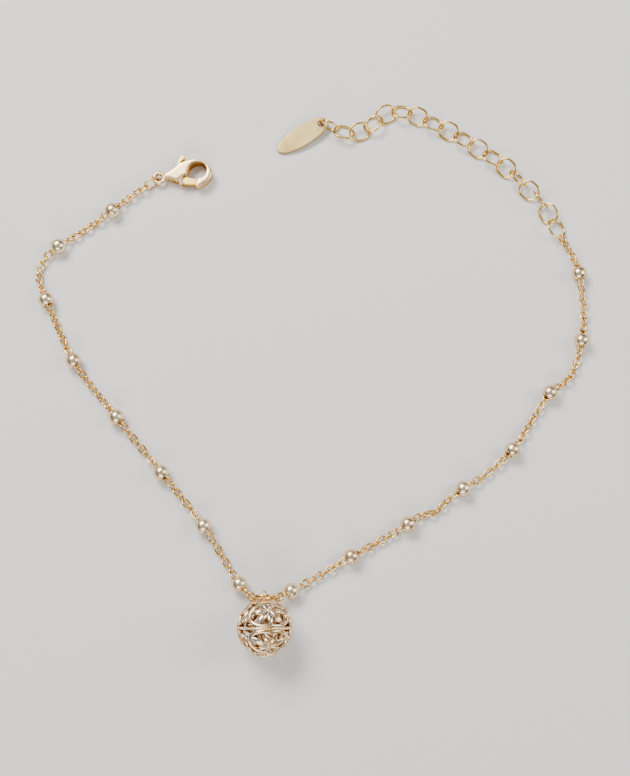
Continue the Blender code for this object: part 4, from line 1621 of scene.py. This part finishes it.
@dataclass
class LobsterClasp:
    """The claw with its eye, and the gate with its thumb peg on the pin."""

    length: float = 10.8 * MM
    thickness: float = 2.4 * MM
    heading: float = 7.4
    claw_grain: float = 0.08 * MM
    claw_rounds: int = 105
    mouth_gap: float = 0.02 * MM
    eye_radius: float = 1.0 * MM
    eye_wire: float = 0.8 * MM
    gate_thickness: float = 1.1 * MM
    gate_grain: float = 0.05 * MM
    gate_rounds: int = 14
    lug: tuple[tuple[float, float], ...] = ((0.360, -0.05), (0.364, -0.214), (0.430, -0.214), (0.436, -0.03))
    lug_inset: float = 0.04 * MM
    lug_edge: float = 0.16 * MM
    pin_radius: float = 0.35 * MM
    hub_radius: float = 0.85 * MM
    peg_width: float = 1.0 * MM
    gap: float = 0.12 * MM
    slot_end: float = 0.583
    pivot_share: tuple[float, float] = (0.343, -0.046)
    tip_top: tuple[float, float] = (0.700, -0.142)
    tip_bottom: tuple[float, float] = (0.668, -0.240)
    gate_top: tuple[tuple[float, float], ...] = ((0.390, 0.014), (0.480, -0.040))
    gate_bottom: tuple[tuple[float, float], ...] = ((0.480, -0.205), (0.333, -0.115))
    peg_end: tuple[float, float] = (0.506, 0.368)
    peg_bend: tuple[float, float] = (0.412, 0.262)
    peg_neck: float = 0.6
    hole_middle: tuple[float, float] = (0.715, 0.03)
    # Where shade is painted round the claw's hole and inside its eye
    hole_radius: float = 1.75 * MM
    hole_fade: float = 0.45 * MM
    eye_fade: tuple[float, float] = (0.1 * MM, 0.35 * MM)
    shade_flatten: tuple[float, float, float] = (1.0, 1.0, 0.35)

    def scaled(self, shares: Sequence[tuple[float, float]]) -> list[tuple[float, float]]:
        """Turns shares of the claw's length into metres."""
        return [(x * self.length, y * self.length) for x, y in shares]

    @property
    def pivot(self) -> tuple[float, float]:
        """The pin's place from the middle of the eye."""
        return self.scaled([self.pivot_share])[0]

    @property
    def reach(self) -> float:
        """From the pin's axis to the gate's tip."""
        tips = self.scaled([self.tip_top, self.tip_bottom])
        return max(math.dist(self.pivot, tip) for tip in tips)

    def seat(self) -> Matrix:
        """Where the clasp lies.

        Returns:
            Its frame: the eye's middle on the floor, X along the claw.
        """
        hinge = next(j for j in frame["joints"] if j["name"] == "clasp_lever")
        turn = Matrix.Rotation(math.radians(self.heading), 4, "Z")
        offset = turn @ Vector((*self.pivot, 0.0))
        pin = Vector((hinge["pos_m"][0], hinge["pos_m"][1], 0.0))
        return Matrix.Translation(pin - offset) @ turn

    def outline(self) -> list[tuple[float, float]]:
        """The claw's outline.

        Returns:
            The closed run of plane points: back and hook, nib, mouth, hole and belly.
        """
        pivot = Vector(self.pivot)
        face = self.reach + self.mouth_gap
        low, high = self.scaled([CLAW_NIB[1], CLAW_HOLE[0]])
        low_turn = math.atan2(low[1] - pivot.y, face)
        high_turn = math.asin((high[1] - pivot.y) / face)
        mouth = arc(pivot, face, low_turn, high_turn, 4)
        back = rounded(self.scaled(CLAW_BACK), 6)
        hole = rounded(self.scaled(CLAW_HOLE), 5)
        belly = self.scaled(CLAW_BELLY)
        cheek = rounded([hole[-1], *belly[:1]], 2)[1:]
        return back + self.scaled(CLAW_NIB) + mouth + hole + cheek + belly[1:]

    def claw(self) -> bpy.types.Object:
        """Models the claw round the eye's middle.

        Returns:
            The claw with its lug, slot, pin and eye.
        """
        piece = plate("clasp_claw", self.outline(), 0.0, self.thickness)
        cast(piece, self.claw_grain, self.claw_rounds)
        lug = plate("lug_solid", self.scaled(self.lug), self.lug_inset, self.thickness - self.lug_inset)
        softened(lug, self.lug_edge, 3, 60.0)
        cut(piece, lug, "UNION")
        half_slot = self.gate_thickness / 2 + self.gap
        middle = self.thickness / 2
        low = self.pivot[0] - self.hub_radius - self.gap
        high = self.length * self.slot_end
        wide = self.length / 2
        corners = [(low, -wide), (high, -wide), (high, wide), (low, wide)]
        cut(piece, plate("slot_cutter", corners, middle - half_slot, middle + half_slot))
        circle = arc(self.pivot, self.pin_radius, 0.0, math.tau, 24)[:-1]
        half_pin = half_slot + self.gap
        cut(piece, plate("pin_solid", circle, middle - half_pin, middle + half_pin), "UNION")
        width = 2 * self.eye_radius + self.eye_wire
        eye = WireLink(width, width, self.eye_wire, 40, 16).model("eye_solid")
        eye.data.transform(Matrix.Translation((0, 0, middle)))
        cut(piece, eye, "UNION")
        return piece

    def gate(self) -> bpy.types.Object:
        """Models the gate round the eye's middle.

        Returns:
            The gate with its hub, bore and peg.
        """
        low = (self.thickness - self.gate_thickness) / 2
        high = low + self.gate_thickness
        pivot = Vector(self.pivot)
        tips = self.scaled([self.tip_bottom, self.tip_top])
        turns = [math.atan2(y - pivot.y, x - pivot.x) for x, y in tips]
        face = arc(pivot, self.reach, turns[0], turns[1], 5)
        bottom = rounded([*self.scaled(self.gate_bottom)[::-1], face[0]], 4)
        top = rounded([face[-1], *self.scaled(self.gate_top)[::-1]], 4)
        outline = [tuple(pivot), *bottom[:-1], *face, *top[1:]]
        piece = plate("clasp_gate", outline, low, high)
        hub = plate("hub_solid", arc(pivot, self.hub_radius, 0.0, math.tau, 36)[:-1], low, high)
        cut(piece, hub, "UNION")
        end, bend = (Vector(point) for point in self.scaled([self.peg_end, self.peg_bend]))
        along = (end - bend).normalized()
        across = Vector((-along.y, along.x)) * (self.peg_width / 2)
        start = math.atan2(-across.y, -across.x)
        cap = arc(end - along * (self.peg_width / 2), self.peg_width / 2, start, start + math.pi, 14)
        side = across * self.peg_neck
        neck = [tuple(bend + side), tuple(pivot + side), tuple(pivot - side), tuple(bend - side)]
        peg = plate("peg_solid", [*neck, *cap], low, high)
        cut(piece, peg, "UNION")
        cast(piece, self.gate_grain, self.gate_rounds)
        circle = arc(pivot, self.pin_radius + self.gap / 2, 0.0, math.tau, 24)[:-1]
        cut(piece, plate("bore_cutter", circle, low - MM, high + MM))
        return piece

    def build(self) -> None:
        """Builds the clasp in its place."""
        place = self.seat()
        claw = self.claw()
        claw.data.transform(place)
        smooth(claw, 40.0)
        # Painted shade on the walls of the claw's hole and inside its eye, squashed in height
        hole = place @ Vector((*self.scaled([self.hole_middle])[0], self.thickness / 2))
        eye = place @ Vector((0.0, 0.0, self.thickness / 2))
        near, far = (self.eye_radius - self.eye_wire / 2 + fade for fade in self.eye_fade)
        recesses = [
            PaintedShade(tuple(hole), self.hole_radius, self.hole_radius + self.hole_fade, self.shade_flatten),
            PaintedShade(tuple(eye), near, far, self.shade_flatten),
        ]
        finish_piece(claw, CLASP_FINISH.material(recesses), "clasp_body")
        gate = self.gate()
        gate.data.transform(place)
        smooth(gate, 40.0)
        finish_piece(gate, GATE_FINISH.material(), "clasp_lever", LEVER_BODY)


# Tag


@dataclass
class LeafTag:
    """The blank leaf-shaped end tag."""

    length: float = 12.0 * MM
    width: float = 4.4 * MM
    thickness: float = 0.55 * MM
    hole_radius: float = 0.62 * MM
    hole_from_end: float = 1.45 * MM
    end_fullness: float = 2.3
    tip_fullness: float = 2.0
    grain: float = 0.06 * MM
    rounds: int = 34
    steps: int = 120
    # How far the painted shade round the hole reaches
    shade_share: float = 0.95
    shade_fade: float = 0.4 * MM

    def outline(self) -> list[tuple[float, float]]:
        """The leaf's outline round its own middle, the tip along +X."""
        points = []
        for step in range(self.steps):
            angle = math.tau * step / self.steps
            x, y = math.cos(angle), math.sin(angle)
            fullness = self.tip_fullness if x > 0 else self.end_fullness
            size = (abs(x) ** fullness + abs(y) ** fullness) ** (1 / fullness)
            points.append((self.length / 2 * x / size, self.width / 2 * y / size))
        return points

    def build(self) -> None:
        """Builds the tag in its place, its hole towards the tag ring."""
        place, _ = measured("tag")
        ring = place.inverted() @ box_middle("tag_ring")
        if ring.x > 0:
            place = place @ Matrix.Rotation(math.pi, 4, "Z")
        half = self.thickness / 2
        piece = plate("tag_leaf", self.outline(), -half, half)
        hole_x = self.hole_from_end - self.length / 2
        circle = arc((hole_x, 0.0), self.hole_radius, 0.0, math.tau, 40)[:-1]
        cut(piece, plate("hole_cutter", circle, -2 * half, 2 * half))
        cast(piece, self.grain, self.rounds)
        piece.data.transform(place)
        smooth(piece, 40.0)
        # Painted shade round the tag's hole
        hole = place @ Vector((hole_x, 0.0, 0.0))
        near, far = self.hole_radius * self.shade_share, self.hole_radius + self.shade_fade
        painted_shade = PaintedShade(tuple(hole), near, far)
        finish_piece(piece, TAG_FINISH.material([painted_shade]), "tag")


# Floor, light and camera


@dataclass(frozen=True)
class Panel:
    """A soft lamp that looks at the anklet; warmth is how much blue it lacks, from 0 to 1."""

    name: str
    place: tuple[float, float, float]
    size: tuple[float, float]
    power: float
    warmth: float


PANELS = (
    Panel("key_panel", (-0.22, 0.30, 0.42), (0.34, 0.22), 4.6, 0.04),
    Panel("fill_panel", (0.42, 0.05, 0.30), (0.22, 0.34), 1.5, 0.0),
    Panel("front_panel", (-0.05, -0.50, 0.28), (0.40, 0.18), 1.7, 0.06),
)


@dataclass
class Studio:
    """The pale floor, the soft light and the camera at the photograph's angle."""

    floor_size: float = 4.0
    floor_drop: float = 0.00002
    board_scale: float = 6.0
    board_light: tuple[float, float, float] = (0.80, 0.79, 0.78)
    board_deep: tuple[float, float, float] = (0.77, 0.765, 0.76)
    board_roughness: float = 0.8
    board_gloss: float = 0.2
    sky: tuple[tuple[float, float], ...] = ((0.0, 0.12), (0.12, 0.05), (0.45, 0.10), (0.75, 0.47), (1.0, 0.38))
    sky_tint: tuple[float, float, float] = (1.0, 0.985, 0.96)
    image: tuple[int, int] = (630, 776)
    focal_pixels: float = 1400.0
    elevation: float = 76.0
    distance: float = 0.2716
    target: tuple[float, float, float] = (0.0007, -0.00385, 0.0)
    sensor: float = 24.0

    def floor(self) -> None:
        """Builds the floor: a broad plate in pale matt board."""
        clear_selection()
        bpy.ops.mesh.primitive_plane_add(size=self.floor_size, location=(0, 0, -self.floor_drop))
        floor = named("floor")
        floor.data.transform(floor.matrix_world)
        floor.matrix_world = Matrix.Identity(4)
        material = bpy.data.materials.new("pale_board")
        material.use_nodes = True
        tree = material.node_tree
        shader = tree.nodes["Principled BSDF"]
        place = tree.nodes.new("ShaderNodeTexCoord").outputs["Object"]
        tone = tree.nodes.new("ShaderNodeGroup")
        tone.node_tree = GROUPS.tone_and_painted_shade()
        tree.links.new(place, tone.inputs["Vector"])
        tone.inputs["Scale"].default_value = self.board_scale
        tone.inputs["Light"].default_value = (*self.board_light, 1.0)
        tone.inputs["Deep"].default_value = (*self.board_deep, 1.0)
        tree.links.new(tone.outputs["Color"], shader.inputs["Base Color"])
        shader.inputs["Roughness"].default_value = self.board_roughness
        shader.inputs["Specular IOR Level"].default_value = self.board_gloss
        floor.data.materials.append(material)

    def world(self) -> None:
        """Sets a soft studio world: pale above, darker round the horizon."""
        world = bpy.data.worlds.new("studio")
        bpy.context.scene.world = world
        world.use_nodes = True
        tree = world.node_tree
        background = tree.nodes["Background"]
        coords = tree.nodes.new("ShaderNodeTexCoord")
        split = tree.nodes.new("ShaderNodeSeparateXYZ")
        tree.links.new(coords.outputs["Generated"], split.inputs[0])
        ramp = tree.nodes.new("ShaderNodeValToRGB")
        ramp.color_ramp.elements[0].position = self.sky[0][0]
        ramp.color_ramp.elements[1].position = self.sky[-1][0]
        for position, _ in self.sky[1:-1]:
            ramp.color_ramp.elements.new(position)
        for element, (_, shade) in zip(ramp.color_ramp.elements, self.sky):
            element.color = (*(shade * part for part in self.sky_tint), 1.0)
        tree.links.new(split.outputs["Z"], ramp.inputs["Fac"])
        tree.links.new(ramp.outputs["Color"], background.inputs["Color"])
        background.inputs["Strength"].default_value = 1.0

    def lights(self) -> None:
        """Adds the soft panels, each turned to the anklet."""
        for panel in PANELS:
            light = bpy.data.lights.new(panel.name, "AREA")
            light.shape = "RECTANGLE"
            light.size, light.size_y = panel.size
            light.energy = panel.power
            light.color = (1.0, 1.0 - panel.warmth * 0.3, 1.0 - panel.warmth)
            lamp = bpy.data.objects.new(panel.name, light)
            bpy.context.scene.collection.objects.link(lamp)
            lamp.location = panel.place
            lamp.rotation_euler = (-Vector(panel.place)).to_track_quat("-Z", "Y").to_euler()

    def camera(self) -> None:
        """Sets the camera at the photograph's angle."""
        data = bpy.data.cameras.new("photo_camera")
        camera = bpy.data.objects.new("photo_camera", data)
        bpy.context.scene.collection.objects.link(camera)
        data.sensor_fit = "VERTICAL"
        data.sensor_height = self.sensor
        data.lens = self.sensor * self.focal_pixels / self.image[1]
        data.clip_start = 0.01
        lift = math.radians(self.elevation)
        away = Vector((0, -math.cos(lift), math.sin(lift))) * self.distance
        camera.location = Vector(self.target) + away
        camera.rotation_euler = (math.pi / 2 - lift, 0.0, 0.0)
        bpy.context.scene.camera = camera

    def build(self) -> None:
        """Sets the whole stage."""
        self.camera()
        self.world()
        self.lights()
        self.floor()


def main() -> None:
    """Builds the anklet's pieces in order and sets the stage."""
    logging.basicConfig(level=logging.INFO, format="%(message)s")
    chain_metal = CHAIN_FINISH.material()
    strands = (
        Strand("left", LEFT_STRAND, toward=-1, end_height=1.2 * MM, end_roll=60.0),
        Strand("right", RIGHT_STRAND, toward=1, end_height=0.8 * MM, end_roll=26.0),
    )
    for strand in strands:
        strand.build(chain_metal)
    WireRings().build()
    OpenworkBall().build()
    LobsterClasp().build()
    LeafTag().build()
    Studio().build()


if __name__ == "__main__":
    main()
